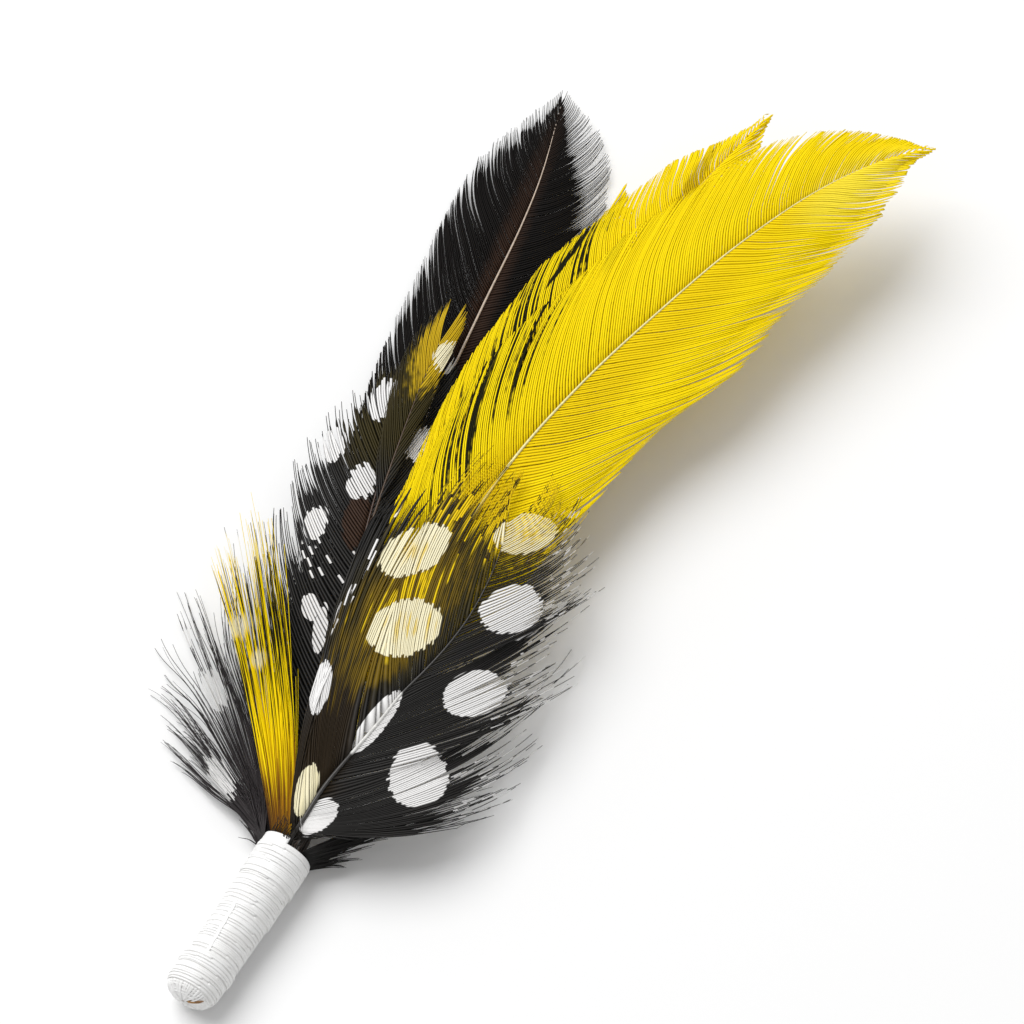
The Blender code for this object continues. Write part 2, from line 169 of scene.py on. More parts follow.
@dataclass
class StrandMesh:
    """One mesh made of many thin closed strands that share a template."""

    name: str
    places: list[Array] = field(default_factory=list)
    faces: list[Array] = field(default_factory=list)
    maps: list[Array] = field(default_factory=list)
    data: list[Array] = field(default_factory=list)
    slots: list[Array] = field(default_factory=list)
    count: int = 0

    MAP_GAP_ACROSS = 0.08
    MAP_GAP_ALONG = 0.004

    @staticmethod
    def template(sides: int, rings: int) -> Array:
        """Faces of one closed strand, each a row of four corners numbered ring by ring."""
        form = bmesh.new()
        bmesh.ops.create_circle(form, segments=sides, radius=1.0, cap_ends=True)
        rim = form.edges[:]
        for _ in range(rings - 1):
            grown = bmesh.ops.extrude_edge_only(form, edges=rim)["geom"]
            risen = {item for item in grown if isinstance(item, bmesh.types.BMVert)}
            edges = [item for item in grown if isinstance(item, bmesh.types.BMEdge)]
            rim = [edge for edge in edges if risen.issuperset(edge.verts)]
            bmesh.ops.translate(form, vec=(0, 0, 1), verts=list(risen))
        bmesh.ops.contextual_create(form, geom=rim)
        bmesh.ops.recalc_face_normals(form, faces=form.faces)
        rows = []
        for face in form.faces:
            corners = []
            for vert in face.verts:
                turn = math.atan2(vert.co.x, vert.co.y) / FULL_TURN * sides
                corners.append(round(vert.co.z) * sides + round(turn) % sides)
            if len(corners) == 4:
                rows.append(corners)
            else:
                rows.extend([corners[0], *corners[first : first + 3]] for first in range(1, sides - 1, 2))
        form.free()
        return np.array(rows, int)

    def add(
        self,
        paths: Array,
        across: Array,
        above: Array,
        half_width: Array,
        height: Array,
        outline: Array,
        tone: Array,
        slot: int = 0,
        columns: tuple[float, float] = (0.0, 1.0),
    ) -> None:
        """Adds strands that follow paths.

        Args:
            paths: Middle lines in millimetres, strands by rings by 3.
            across: Unit vectors of their width.
            above: Unit vectors of their height.
            half_width: Half their width at each ring.
            height: Their height at each ring.
            outline: Cross-section, corners by 2, in half widths and heights.
            tone: A random number for each strand.
            slot: Material slot.
            columns: The stretch of the map, from side to side, that holds these strands.
        """
        strands, rings, _ = paths.shape
        sides = len(outline)
        wide = across[:, :, None] * (half_width[:, :, None] * outline[:, 0])[..., None]
        high = above[:, :, None] * (height[:, :, None] * outline[:, 1])[..., None]
        places = (paths[:, :, None] + wide + high).reshape(-1, 3)
        faces = self.template(sides, rings)
        ahead = paths[:, 1] - paths[:, 0]
        if (np.cross(across, above)[:, 0] * ahead).sum() < 0:
            faces = faces[:, ::-1]
        first = self.count + np.arange(strands)[:, None, None] * sides * rings
        self.faces.append((faces[None] + first).reshape(-1, 4))
        self.places.append(places)
        out = np.linspace(0.0, 1.0, rings)
        data = np.empty((strands, rings, sides, 3))
        data[..., 0] = out[None, :, None]
        data[..., 1] = tone[:, None, None]
        data[..., 2] = outline[:, 0]
        self.data.append(data.reshape(-1, 3))
        self.maps.append(self._map(faces, strands, rings, sides, columns))
        self.slots.append(np.full(strands * len(faces), slot))
        self.count += strands * rings * sides

    def _map(
        self, faces: Array, strands: int, rings: int, sides: int, columns: tuple[float, float]
    ) -> Array:
        """Map places of the faces' corners: a column for each strand, its rings one above another."""
        ring, corner = faces // sides, (faces % sides).astype(float)
        wraps = (corner.max(1) == sides - 1) & (corner.min(1) == 0)
        corner[(corner == 0) & wraps[:, None]] = sides
        u = self.MAP_GAP_ACROSS + (1 - 2 * self.MAP_GAP_ACROSS) * corner / sides
        v = self.MAP_GAP_ALONG + (1 - 2 * self.MAP_GAP_ALONG) * ring / (rings - 1)
        start, end = columns
        u = start + (end - start) * (np.arange(strands)[:, None, None] + u[None]) / strands
        return np.stack([u, np.broadcast_to(v, u.shape)], -1).reshape(-1, 2)

    def build(self, node: str, slot: str, materials: list[bpy.types.Material]) -> None:
        """Makes the mesh in the frame, with its map and barb data, in place of a CAD node."""
        places = PLACE.points(np.vstack(self.places))
        faces = np.vstack(self.faces)
        mesh = bpy.data.meshes.new(self.name)
        mesh.vertices.add(len(places))
        mesh.vertices.foreach_set("co", places.ravel())
        mesh.loops.add(faces.size)
        mesh.loops.foreach_set("vertex_index", faces.ravel())
        mesh.polygons.add(len(faces))
        mesh.polygons.foreach_set("loop_start", np.arange(0, faces.size, 4))
        mesh.polygons.foreach_set("material_index", np.concatenate(self.slots))
        mesh.update(calc_edges=True)
        layer = mesh.uv_layers.new(name=BARB_MAP)
        layer.uv.foreach_set("vector", np.vstack(self.maps).ravel())
        data = mesh.attributes.new(BARB_DATA, "FLOAT_VECTOR", "POINT")
        data.data.foreach_set("vector", np.vstack(self.data).ravel())
        mesh.shade_smooth()
        for material in materials:
            mesh.materials.append(material)
        piece = bpy.data.objects.new(self.name, mesh)
        bpy.context.collection.objects.link(piece)
        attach(piece, "root")
        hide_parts(node)
        log.info("%s: %d faces", piece.name, len(mesh.polygons))


class Bench:
    """Short hand for laying out and joining shader nodes."""

    def __init__(self, tree: bpy.types.NodeTree) -> None:
        """Takes the node tree to work on."""
        self.tree = tree

    def node(self, kind: str, **settings: object) -> bpy.types.Node:
        """Adds a node and sets its properties."""
        made = self.tree.nodes.new(kind)
        for name, value in settings.items():
            setattr(made, name, value)
        return made

    def feed(self, socket: Socket, value: object) -> None:
        """Links a socket to another, or sets its value."""
        if isinstance(value, Socket):
            self.tree.links.new(value, socket)
        elif isinstance(value, tuple) and socket.type == "RGBA":
            socket.default_value = (*value, 1.0)
        else:
            socket.default_value = value

    def fill(self, node: bpy.types.Node, **values: object) -> bpy.types.Node:
        """Feeds a node's inputs by their names, with underscores for spaces, and returns the node."""
        for name, value in values.items():
            self.feed(node.inputs[name.replace("_", " ")], value)
        return node

    def parts(self, vector: object) -> bpy.types.bpy_prop_collection:
        """The three coordinates of a vector."""
        made = self.node("ShaderNodeSeparateXYZ")
        self.feed(made.inputs[0], vector)
        return made.outputs

    def barb_data(self) -> bpy.types.bpy_prop_collection:
        """The share out along a barb, its tone and the side of its middle."""
        return self.parts(self.node("ShaderNodeAttribute", attribute_name=BARB_DATA).outputs["Vector"])

    def place(self) -> Socket:
        """The place on the object."""
        return self.node("ShaderNodeTexCoord").outputs["Object"]

    def maths(self, operation: str, *values: object, clamp: bool = False) -> Socket:
        """Adds a Math node and returns its result."""
        made = self.node("ShaderNodeMath", operation=operation, use_clamp=clamp)
        for socket, value in zip(made.inputs, values):
            self.feed(socket, value)
        return made.outputs[0]

    def mix(self, share: object, first: object, second: object) -> Socket:
        """Adds a colour Mix node and returns its result."""
        made = self.node("ShaderNodeMix", data_type="RGBA")
        self.feed(made.inputs[0], share)
        self.feed(made.inputs[6], first)
        self.feed(made.inputs[7], second)
        return made.outputs[2]

    def span(self, value: object, low: object, high: object, to: tuple[float, float]) -> Socket:
        """Eases a value's range onto another and returns the result."""
        made = self.node("ShaderNodeMapRange", interpolation_type="SMOOTHSTEP")
        for number, given in enumerate((value, low, high, *to)):
            self.feed(made.inputs[number], given)
        return made.outputs[0]

    def noise(self, where: object, scale: float, detail: float) -> Socket:
        """Adds a Noise node and returns its value."""
        return self.fill(self.node("ShaderNodeTexNoise"), Vector=where, Scale=scale, Detail=detail).outputs[0]

    def group(self, tree: bpy.types.NodeTree, **values: object) -> bpy.types.Node:
        """Places a node group with its inputs set."""
        return self.fill(self.node("ShaderNodeGroup", node_tree=tree), **values)


class Effects:
    """Node groups that more than one material uses, each built once."""

    def __init__(self) -> None:
        """Builds the groups."""
        self.patch = self._patch()
        self.barbs = self._barbs()

    @staticmethod
    def _tree(name: str, inputs: dict[str, str], outputs: dict[str, str]) -> tuple[Bench, object, object]:
        """New group with sockets, and its bench, input node and output node."""
        tree = bpy.data.node_groups.new(name, "ShaderNodeTree")
        for label, kind in inputs.items():
            tree.interface.new_socket(label, in_out="INPUT", socket_type=f"NodeSocket{kind}")
        for label, kind in outputs.items():
            tree.interface.new_socket(label, in_out="OUTPUT", socket_type=f"NodeSocket{kind}")
        bench = Bench(tree)
        return bench, bench.node("NodeGroupInput"), bench.node("NodeGroupOutput")

    def _patch(self) -> bpy.types.NodeTree:
        """Oval mask on the plan of the spray, with a crisp or soft edge that each barb shifts."""
        sizes = dict.fromkeys(("Turn", "Half Length", "Half Width", "Edge", "Shift"), "Float")
        bench, given, put = self._tree("oval patch", {"Centre": "Vector", **sizes}, {"Mask": "Float"})
        away = bench.node("ShaderNodeVectorMath", operation="SUBTRACT")
        bench.feed(away.inputs[0], bench.place())
        bench.feed(away.inputs[1], given.outputs["Centre"])
        turned = bench.node("ShaderNodeVectorRotate", rotation_type="Z_AXIS")
        bench.fill(turned, Vector=away.outputs[0], Angle=given.outputs["Turn"])
        parts = bench.parts(turned.outputs[0])
        long = bench.maths("DIVIDE", parts[0], given.outputs["Half Length"])
        wide = bench.maths("DIVIDE", parts[1], given.outputs["Half Width"])
        squares = bench.maths("ADD", bench.maths("MULTIPLY", long, long), bench.maths("MULTIPLY", wide, wide))
        reach = bench.maths("ADD", bench.maths("SQRT", squares), given.outputs["Shift"])
        low = bench.maths("SUBTRACT", 1.0, given.outputs["Edge"])
        high = bench.maths("ADD", 1.0, given.outputs["Edge"])
        bench.fill(put, Mask=bench.span(reach, low, high, (1.0, 0.0)))
        return bench.tree

    def _barbs(self) -> bpy.types.NodeTree:
        """Tone of each barb, with a paler ridge and streaks, and masks for its grooves and dashes."""
        inputs = {"Web": "Color", "Ridge": "Color", "Unevenness": "Float", "Beats": "Float", "Duty": "Float"}
        masks = dict.fromkeys(("Groove", "Dash", "Out", "Tone", "Streak", "Fleck"), "Float")
        bench, given, put = self._tree("barb tone", inputs, {"Color": "Color", **masks})
        out, tone, side = bench.barb_data()
        aside = bench.maths("ABSOLUTE", side)
        along = bench.node("ShaderNodeCombineXYZ")
        bench.feed(along.inputs[0], bench.maths("MULTIPLY", out, 6.0))
        bench.feed(along.inputs[1], bench.maths("MULTIPLY", tone, 90.0))
        streak = bench.noise(along.outputs[0], 1.0, 2.0)
        short = bench.node("ShaderNodeVectorMath", operation="MULTIPLY")
        bench.feed(short.inputs[0], along.outputs[0])
        short.inputs[1].default_value = (3.0, 1.0, 1.0)
        uneven = bench.maths("ADD", bench.maths("SUBTRACT", tone, 0.5), bench.maths("SUBTRACT", streak, 0.5))
        uneven = bench.maths("MULTIPLY", uneven, given.outputs["Unevenness"])
        ridge = bench.maths("ADD", bench.span(aside, 0.1, 0.6, (0.75, 0.0)), uneven, clamp=True)
        beat = bench.maths("MULTIPLY_ADD", out, given.outputs["Beats"], bench.maths("MULTIPLY", tone, 5.0))
        bench.fill(
            put,
            Color=bench.mix(ridge, given.outputs["Web"], given.outputs["Ridge"]),
            # Groove marks each barb's edges, where neighbours overlap and the painted shade between barbs
            # goes.
            Groove=bench.span(aside, 0.55, 0.95, (0.0, 1.0)),
            Dash=bench.maths("LESS_THAN", bench.maths("FRACT", beat), given.outputs["Duty"]),
            Out=out,
            Tone=tone,
            Streak=streak,
            Fleck=bench.noise(short.outputs[0], 1.0, 1.0),
        )
        return bench.tree


EFFECTS = Effects()


def new_material(name: str, roughness: float) -> tuple[bpy.types.Material, Bench, bpy.types.Node]:
    """Material with a plain shader, the bench for its nodes and the shader."""
    material = bpy.data.materials.new(name)
    material.use_nodes = True
    bench = Bench(material.node_tree)
    return material, bench, bench.fill(material.node_tree.nodes["Principled BSDF"], Roughness=roughness)


@dataclass(frozen=True)
class Patch:
    """An oval on the plan of the spray, in millimetres from the binding's mouth."""

    x: float
    y: float
    half_length: float
    half_width: float
    turn: float = 90.0

    def mask(self, bench: Bench, edge: float, shift: object) -> Socket:
        """Adds the oval's mask to a material and returns it."""
        made = bench.group(
            EFFECTS.patch,
            Centre=tuple(PLACE.points((self.x, self.y, 0.0))),
            Turn=-math.radians(self.turn),
            Half_Length=self.half_length * MM,
            Half_Width=self.half_width * MM,
            Edge=edge,
            Shift=shift,
        )
        return made.outputs["Mask"]


def join_masks(bench: Bench, masks: list[Socket]) -> Socket:
    """Largest of several masks."""
    joined = masks[0]
    for mask in masks[1:]:
        joined = bench.maths("MAXIMUM", joined, mask)
    return joined


class Part(Enum):
    """Which part of the barbs a layer covers."""

    WHOLE = ""
    GROOVES = "Groove"
    DASHES = "Dash"


@dataclass(frozen=True)
class Layer:
    """Colour laid over barbs in ovals, with each oval's edge shifted by barb, streak and fleck."""

    colour: Colour
    patches: tuple[Patch, ...]
    edge: float = 0.02
    jag: float = 0.14
    streaks: float = 0.0
    flecks: float = 0.0
    thin: float = 0.0
    strength: float = 1.0
    part: Part = Part.WHOLE
    start: float = 0.0

    def lay(self, bench: Bench, barbs: bpy.types.Node, under: object) -> Socket:
        """Mixes the layer over a colour and returns the result."""
        shift = self.thin
        for name, size in (("Fleck", self.flecks), ("Streak", self.streaks), ("Tone", self.jag)):
            off = bench.maths("SUBTRACT", barbs.outputs[name], 0.5)
            shift = bench.maths("MULTIPLY_ADD", off, size, shift)
        mask = join_masks(bench, [patch.mask(bench, self.edge, shift) for patch in self.patches])
        if self.part is not Part.WHOLE:
            mask = bench.maths("MULTIPLY", mask, barbs.outputs[self.part.value])
        if self.start:
            beyond = bench.maths("GREATER_THAN", barbs.outputs["Out"], self.start)
            mask = bench.maths("MULTIPLY", mask, beyond)
        return bench.mix(bench.maths("MULTIPLY", mask, self.strength), under, self.colour)


@dataclass(frozen=True)
class BarbFinish:
    """How barbs are coloured: their tones, the layers over them, and painted shade in the grooves between
    barbs that fades on pale ones.
    """

    name: str
    web: Colour
    ridge: Colour
    # Colour of the painted shade between barbs.
    groove_shade: Colour
    roughness: float = 0.55
    shine: float = 0.35
    unevenness: float = 0.7
    layers: tuple[Layer, ...] = ()
    beats: float = 7.0
    duty: float = 0.4

    def make(self) -> bpy.types.Material:
        """Builds the material."""
        material, bench, shader = new_material(self.name, self.roughness)
        barbs = bench.group(
            EFFECTS.barbs,
            Web=self.web,
            Ridge=self.ridge,
            Unevenness=self.unevenness,
            Beats=self.beats,
            Duty=self.duty,
        )
        colour = barbs.outputs["Color"]
        for layer in self.layers:
            colour = layer.lay(bench, barbs, colour)
        # Painted shade between barbs: the groove shade colour is multiplied in at each barb's edges, less on
        # pale colours.
        groove_shading = bench.node("ShaderNodeMix", data_type="RGBA", blend_type="MULTIPLY")
        bright = bench.node("ShaderNodeRGBToBW")
        bench.feed(bright.inputs[0], colour)
        shaded = bench.maths("MULTIPLY_ADD", bright.outputs[0], -0.5, 1.0, clamp=True)
        bench.feed(groove_shading.inputs[0], bench.maths("MULTIPLY", barbs.outputs["Groove"], shaded))
        bench.feed(groove_shading.inputs[6], colour)
        bench.feed(groove_shading.inputs[7], self.groove_shade)
        bench.fill(shader, Base_Color=groove_shading.outputs[2], Specular_IOR_Level=self.shine)
        return material


@dataclass(frozen=True)
class ShaftFinish:
    """Horny shaft, from its stem colour to its tip colour, with pale stretches."""

    name: str
    stem: Colour
    tip: Colour
    roughness: float = 0.35
    change: tuple[float, float] = (0.1, 0.75)
    spots: tuple[Patch, ...] = ()
    spot: Colour = (0.8, 0.79, 0.76)

    def make(self) -> bpy.types.Material:
        """Builds the material."""
        material, bench, shader = new_material(self.name, self.roughness)
        grain = bench.noise(bench.place(), 2500.0, 3.0)
        colour = bench.mix(bench.span(bench.barb_data()[0], *self.change, (0.0, 1.0)), self.stem, self.tip)
        if self.spots:
            masks = [patch.mask(bench, 0.05, 0.0) for patch in self.spots]
            colour = bench.mix(join_masks(bench, masks), colour, self.spot)
        dark = bench.mix(1.0, colour, (0.0, 0.0, 0.0))
        bench.fill(shader, Base_Color=bench.mix(bench.span(grain, 0.35, 0.75, (0.25, 0.0)), colour, dark))
        return material


@dataclass(frozen=True)
class Tuft:
    """How neighbouring barbs draw together: how many, how far and from what share out."""

    size: int
    pull: float
    start: float


@dataclass(frozen=True)
class Side:
    """One vane, as profiles from its first barb to its last and how its barbs lie."""

    lengths: Profile
    angles: Profile
    drops: Profile
    pitch: float = 0.25
    cover: Profile = (1.08, 1.08)
    web_to: Profile = (0.8, 0.8)
    fray: float = 0.1
    locks: Tuft = Tuft(22, 0.12, 0.55)
    wisps: Tuft = Tuft(3, 0.4, 0.8)
    lift: float = 0.1
    sway: float = 0.4
    wave: float = 0.0
    curl: float = 0.5


RIDGED = np.array([(-1.0, 0.0), (0.0, 1.0), (1.0, 0.0), (0.0, -0.5)])


def round_outline(sides: int) -> Array:
    """Corners of a round cross-section."""
    turn = np.arange(sides) * FULL_TURN / sides
    return np.stack([-np.cos(turn), np.sin(turn)], -1)


def draw_together(
    random: Random, tuft: Tuft, number: Array, out: Array
) -> tuple[Array, Array]:
    """Shifts, in barbs, that draw barbs towards the middle of their tuft, and each barb's tuft."""
    count, member = len(number), []
    while len(member) < count:
        size = int(random.integers(max(1, tuft.size // 2), tuft.size * 3 // 2 + 1))
        member += [member[-1] + 1 if member else 0] * size
    member = np.array(member[:count])
    tufts = member.max() + 1
    middle = np.array([number[member == one].mean() for one in range(tufts)])[member]
    start = (tuft.start + random.uniform(-0.12, 0.1, tufts))[member][:, None]
    pull = (tuft.pull * random.uniform(0.5, 1.4, tufts))[member][:, None]
    eased = np.clip((out - start) / (1.0 - start), 0.0, 1.0) ** 1.5
    return (middle - number)[:, None] * np.clip(pull, 0.0, 0.96) * eased, member


def shared_waves(random: Random, number: Array, out: Array) -> Array:
    """Smooth shifts, in barbs, that neighbouring barbs share."""
    waves = np.zeros((len(number), out.shape[1]))
    for _ in range(4):
        across, along = random.uniform(0.03, 0.16), random.uniform(3.0, 9.0)
        waves += np.sin(across * number[:, None] + along * out + random.uniform(0, FULL_TURN))
    return waves * smooth_step(0.0, 0.25, out)


@dataclass(frozen=True)
class Fan:
    """Loose barbs that leave the binding's mouth side by side, each bent through a middle point."""

    roots: tuple[Point, ...]
    middles: tuple[Point, ...]
    tips: tuple[Point, ...]
    barbs: int = 110
    shortest: float = 0.5
    half_width: float = 0.08
    wisps: Tuft = Tuft(5, 0.8, 0.35)
    locks: Tuft = Tuft(16, 0.3, 0.3)
    spread: float = 0.25
    wave: float = 0.8

    RINGS = 26
    LOWEST = 0.15

    @staticmethod
    def place(points: tuple[Point, ...], share: Array) -> Array:
        """Places along a smooth row of points, at shares of the way from its first to its last."""
        columns = [read_profile(tuple(point[axis] for point in points), share) for axis in range(3)]
        return np.stack(columns, -1)

    def add(self, strands: StrandMesh, random: Random, columns: tuple[float, float]) -> None:
        """Adds the bent barbs to a mesh, in a stretch of its map."""
        count = self.barbs
        out = np.linspace(0.0, 1.0, self.RINGS)[None]
        number = np.arange(count) + random.uniform(0, 1, count)
        wisped, wisp = draw_together(random, self.wisps, number, out)
        locked, _ = draw_together(random, self.locks, number, out)
        moved = number[:, None] + wisped + locked + self.wave * shared_waves(random, number, out)
        share = np.clip(moved / count, 0.0, 1.0)
        wisps = wisp.max() + 1
        size = random.uniform(self.shortest, 1.0, wisps)[wisp] ** 0.7
        size *= 1 - 0.15 * random.random(count)
        ease = (out * size[:, None])[..., None]
        root, middle, tip = (self.place(row, share) for row in (self.roots, self.middles, self.tips))
        paths = root * (1 - ease) ** 2 + 2 * middle * ease * (1 - ease) + tip * ease**2
        aside = random.normal(0, self.spread, (count, 1, 3))
        aside += random.normal(0, self.spread, (wisps, 1, 3))[wisp]
        paths = paths + aside * (out**1.5)[..., None]
        paths[..., 2] = np.maximum(paths[..., 2], self.LOWEST)
        along = unit(np.gradient(paths, axis=1))
        across = unit(np.cross(along, [0.0, 0.0, 1.0]))
        above = np.cross(across, along)
        half = self.half_width * (1 - 0.7 * out**1.5) * (0.6 + 0.4 * smooth_step(0.0, 0.3, out))
        half = half * random.uniform(0.7, 1.25, count)[:, None]
        strands.add(paths, across, above, half, half * 0.8, RIDGED, random.random(count), 0, columns)


@dataclass
class Plume:
    """A bunch of barbs in place of a CAD node."""

    node: str
    slot: str
    seat: tuple[float, float]
    finish: BarbFinish
    shaft: ShaftFinish
    seed: int

    STEM_END = -14.8

    def __post_init__(self) -> None:
        """Starts the plume's own run of random numbers and lays its stem in the binding."""
        self.random = np.random.default_rng(self.seed)
        x, rise = self.seat
        z = PLACE.axis_z + rise
        self.stem = [(x, self.STEM_END, z), (x, -7.5, z), (x, 0.6, z)]

    def add_strands(self, strands: StrandMesh) -> None:
        """Adds the plume's barbs and shaft to the mesh."""
        raise NotImplementedError

    def build(self) -> None:
        """Makes the plume's mesh and dresses it."""
        strands = StrandMesh(f"{self.node}_barbs")
        self.add_strands(strands)
        strands.build(self.node, self.slot, [self.finish.make(), self.shaft.make()])


@dataclass
class BarbFan(Plume):
    """Loose barbs on a short quill, without a shaft."""

    fans: tuple[Fan, ...]

    def add_strands(self, strands: StrandMesh) -> None:
        """Adds the fans of barbs, and the quill that they share inside the binding."""
        share = 0.96 / len(self.fans)
        for place, fan in enumerate(self.fans):
            fan.add(strands, self.random, (place * share, (place + 1) * share))
        line = Course([*self.stem, tuple(Fan.place(self.fans[0].roots, np.array([0.5]))[0])])
        at = np.linspace(0.0, line.length, 12)
        _, right, up = line.axes(at)
        wide = np.full((1, 12), 0.3)
        outline, tone = round_outline(8), np.array([0.5])
        strands.add(line.at(at)[None], right[None], up[None], wide, wide, outline, tone, 1, (0.96, 1.0))


@dataclass
class Feather(Plume):
    """A feather made of a shaft and two vanes of separate barbs, with up to three fans at its base."""

    course: tuple[Point, ...]
    vane_start: float
    left: Side
    right: Side
    shaft_half_widths: Profile = (0.3, 0.27, 0.22, 0.17, 0.12, 0.04)
    barb_height: float = 0.07
    barb_half_width: float = 0.075
    arch: float = 0.15
    fans: tuple[Fan, ...] = ()
    rings: int = 18
    shingle: float = 0.15

    EVEN_AT = 0.45
    TAPER = 0.1
    TIP_SHARE = 0.45
    ROOT_SINK = 0.7
    CALM_TIP = 0.12
    SHAFT_RINGS = 90
    LOWEST = 0.12

    def __post_init__(self) -> None:
        """Lays the middle line from the stem's end in the binding to the tip."""
        super().__post_init__()
        self.line = Course([*self.stem, *self.course])
        self.start = self.vane_start - self.STEM_END

    def barb_point(self, vane: Vane, share: Array, out: Array) -> Array:
        """Points on a vane, from the share up it of the barbs' roots and the share out along them."""
        side = self.left if vane is Vane.LEFT else self.right
        at = self.start + share * (self.line.length - self.start)
        forward, right, _ = self.line.axes(at)
        reach = read_profile(side.lengths, share) * out
        turn = np.radians(read_profile(side.angles, share)) * (1 + side.curl * (1 - out))
        along = forward * (np.cos(turn) * reach)[..., None]
        across = right * (vane.value * np.sin(turn) * reach)[..., None]
        points = self.line.at(at) + along + across
        drop = read_profile(side.drops, share) * out**2
        points[..., 2] = self.line.height(at + np.cos(turn) * reach) - drop
        return points

    def _roots(self, vane: Vane, pitch: float) -> tuple[int, Array]:
        """How many barbs a vane has, and the share up the vane of each place between them."""
        grid = np.linspace(0.0, 1.0, 241)
        middle = self.barb_point(vane, grid, np.array(self.EVEN_AT))
        along = unit(self.barb_point(vane, grid, np.array(self.EVEN_AT + 0.05)) - middle)[:-1]
        step = np.diff(middle, axis=0)
        step -= along * (step * along).sum(-1, keepdims=True)
        grown = np.concatenate([[0.0], np.cumsum(np.linalg.norm(step, axis=-1) + 1e-4)]) / pitch
        count = int(grown[-1])
        return count, np.interp(np.arange(count + 1), grown * count / grown[-1], grid)

    def add_vane(self, strands: StrandMesh, vane: Vane, columns: tuple[float, float]) -> None:
        """Adds a vane's barbs to the mesh."""
        side = self.left if vane is Vane.LEFT else self.right
        random = self.random
        count, places = self._roots(vane, side.pitch)
        number = np.arange(count) + 0.5 + random.uniform(-0.12, 0.12, count)
        out = np.linspace(0.0, 1.0, self.rings)[None]
        locked, lock = draw_together(random, side.locks, number, out)
        wisped, wisp = draw_together(random, side.wisps, number, out)
        locks, wisps = lock.max() + 1, wisp.max() + 1
        sway = random.normal(0, side.sway, wisps)[wisp] + random.normal(0, side.sway, locks)[lock]
        loose = random.normal(0, side.sway, count)
        moved = locked + wisped + sway[:, None] * out**2 + loose[:, None] * out**4
        moved += side.wave * shared_waves(random, number, out)
        calm = smooth_step(0.0, self.CALM_TIP, (count - number) / count)
        moved = number[:, None] + moved * calm[:, None]

        def share(numbers: Array) -> Array:
            """Share up the vane of places counted in barbs."""
            return np.interp(numbers, np.arange(count + 1), places)

        tip = 1 - side.fray * random.random(count) + side.fray * random.uniform(-0.6, 0.4, wisps)[wisp]
        tip += side.fray * random.uniform(-0.6, 0.4, locks)[lock]
        reach = out * tip[:, None]
        paths = self.barb_point(vane, share(moved), reach)
        gap = self.barb_point(vane, share(moved + 0.5), reach)
        gap -= self.barb_point(vane, share(moved - 0.5), reach)
        along = unit(np.gradient(paths, axis=1))
        gap -= along * (gap * along).sum(-1, keepdims=True)
        spacing = np.linalg.norm(gap, axis=-1)
        across = unit(gap + along * 1e-6)
        above = np.cross(across, along)
        above *= np.where(above[..., 2:] < 0, -1.0, 1.0)
        up_vane = share(number)
        opening = read_profile(side.web_to, up_vane) + random.normal(0, 0.03, wisps)[wisp]
        opening += random.normal(0, 0.04, locks)[lock] + random.normal(0, 0.02, count)
        opening = opening[:, None]
        web = 0.5 * read_profile(side.cover, up_vane)[:, None] * spacing
        web *= 1 - smooth_step(opening, opening + self.TAPER, out)
        ramus = self.barb_half_width * (1 - (1 - self.TIP_SHARE) * out**2)
        half_width = np.maximum(web, ramus)
        height = self.barb_height * (1 - 0.5 * out) * np.ones((count, 1))
        lift = random.normal(0, side.lift, locks)[lock] + random.normal(0, side.lift / 2, wisps)[wisp]
        uneven = 0.2 * self.barb_height * random.uniform(-1, 1, count)[:, None]
        lift = lift[:, None] * smooth_step(0.2, 1.0, out) + uneven
        at = self.start + share(moved) * (self.line.length - self.start)
        shaft = read_profile(self.shaft_half_widths, at / self.line.length)
        sink = self.ROOT_SINK * shaft * (1 - smooth_step(0.0, 0.1, out))
        lift = lift + self.arch * np.sin(math.pi * np.minimum(out * 1.3, 1.0)) - sink
        paths = paths + above * (lift + 0.04)[..., None]
        paths[..., 2] = np.maximum(paths[..., 2], self.LOWEST)
        tilted = unit(across + above * self.shingle * vane.value)
        strands.add(paths, tilted, above, half_width, height, RIDGED, random.random(count), 0, columns)

    def add_shaft(self, strands: StrandMesh, columns: tuple[float, float]) -> None:
        """Adds the stem and shaft to the mesh."""
        at = np.linspace(0.0, self.line.length, self.SHAFT_RINGS)
        _, right, up = self.line.axes(at)
        half = read_profile(self.shaft_half_widths, at / self.line.length)[None]
        outline = round_outline(8)
        tone = np.array([0.5])
        strands.add(self.line.at(at)[None], right[None], up[None], half, half, outline, tone, 1, columns)

    def add_strands(self, strands: StrandMesh) -> None:
        """Adds both vanes and the shaft."""
        self.add_vane(strands, Vane.LEFT, (0.0, 0.46))
        self.add_vane(strands, Vane.RIGHT, (0.46, 0.92))
        for place, fan in enumerate(self.fans):
            fan.add(strands, self.random, (0.92 + 0.02 * place, 0.94 + 0.02 * place))
        self.add_shaft(strands, (0.98, 1.0))


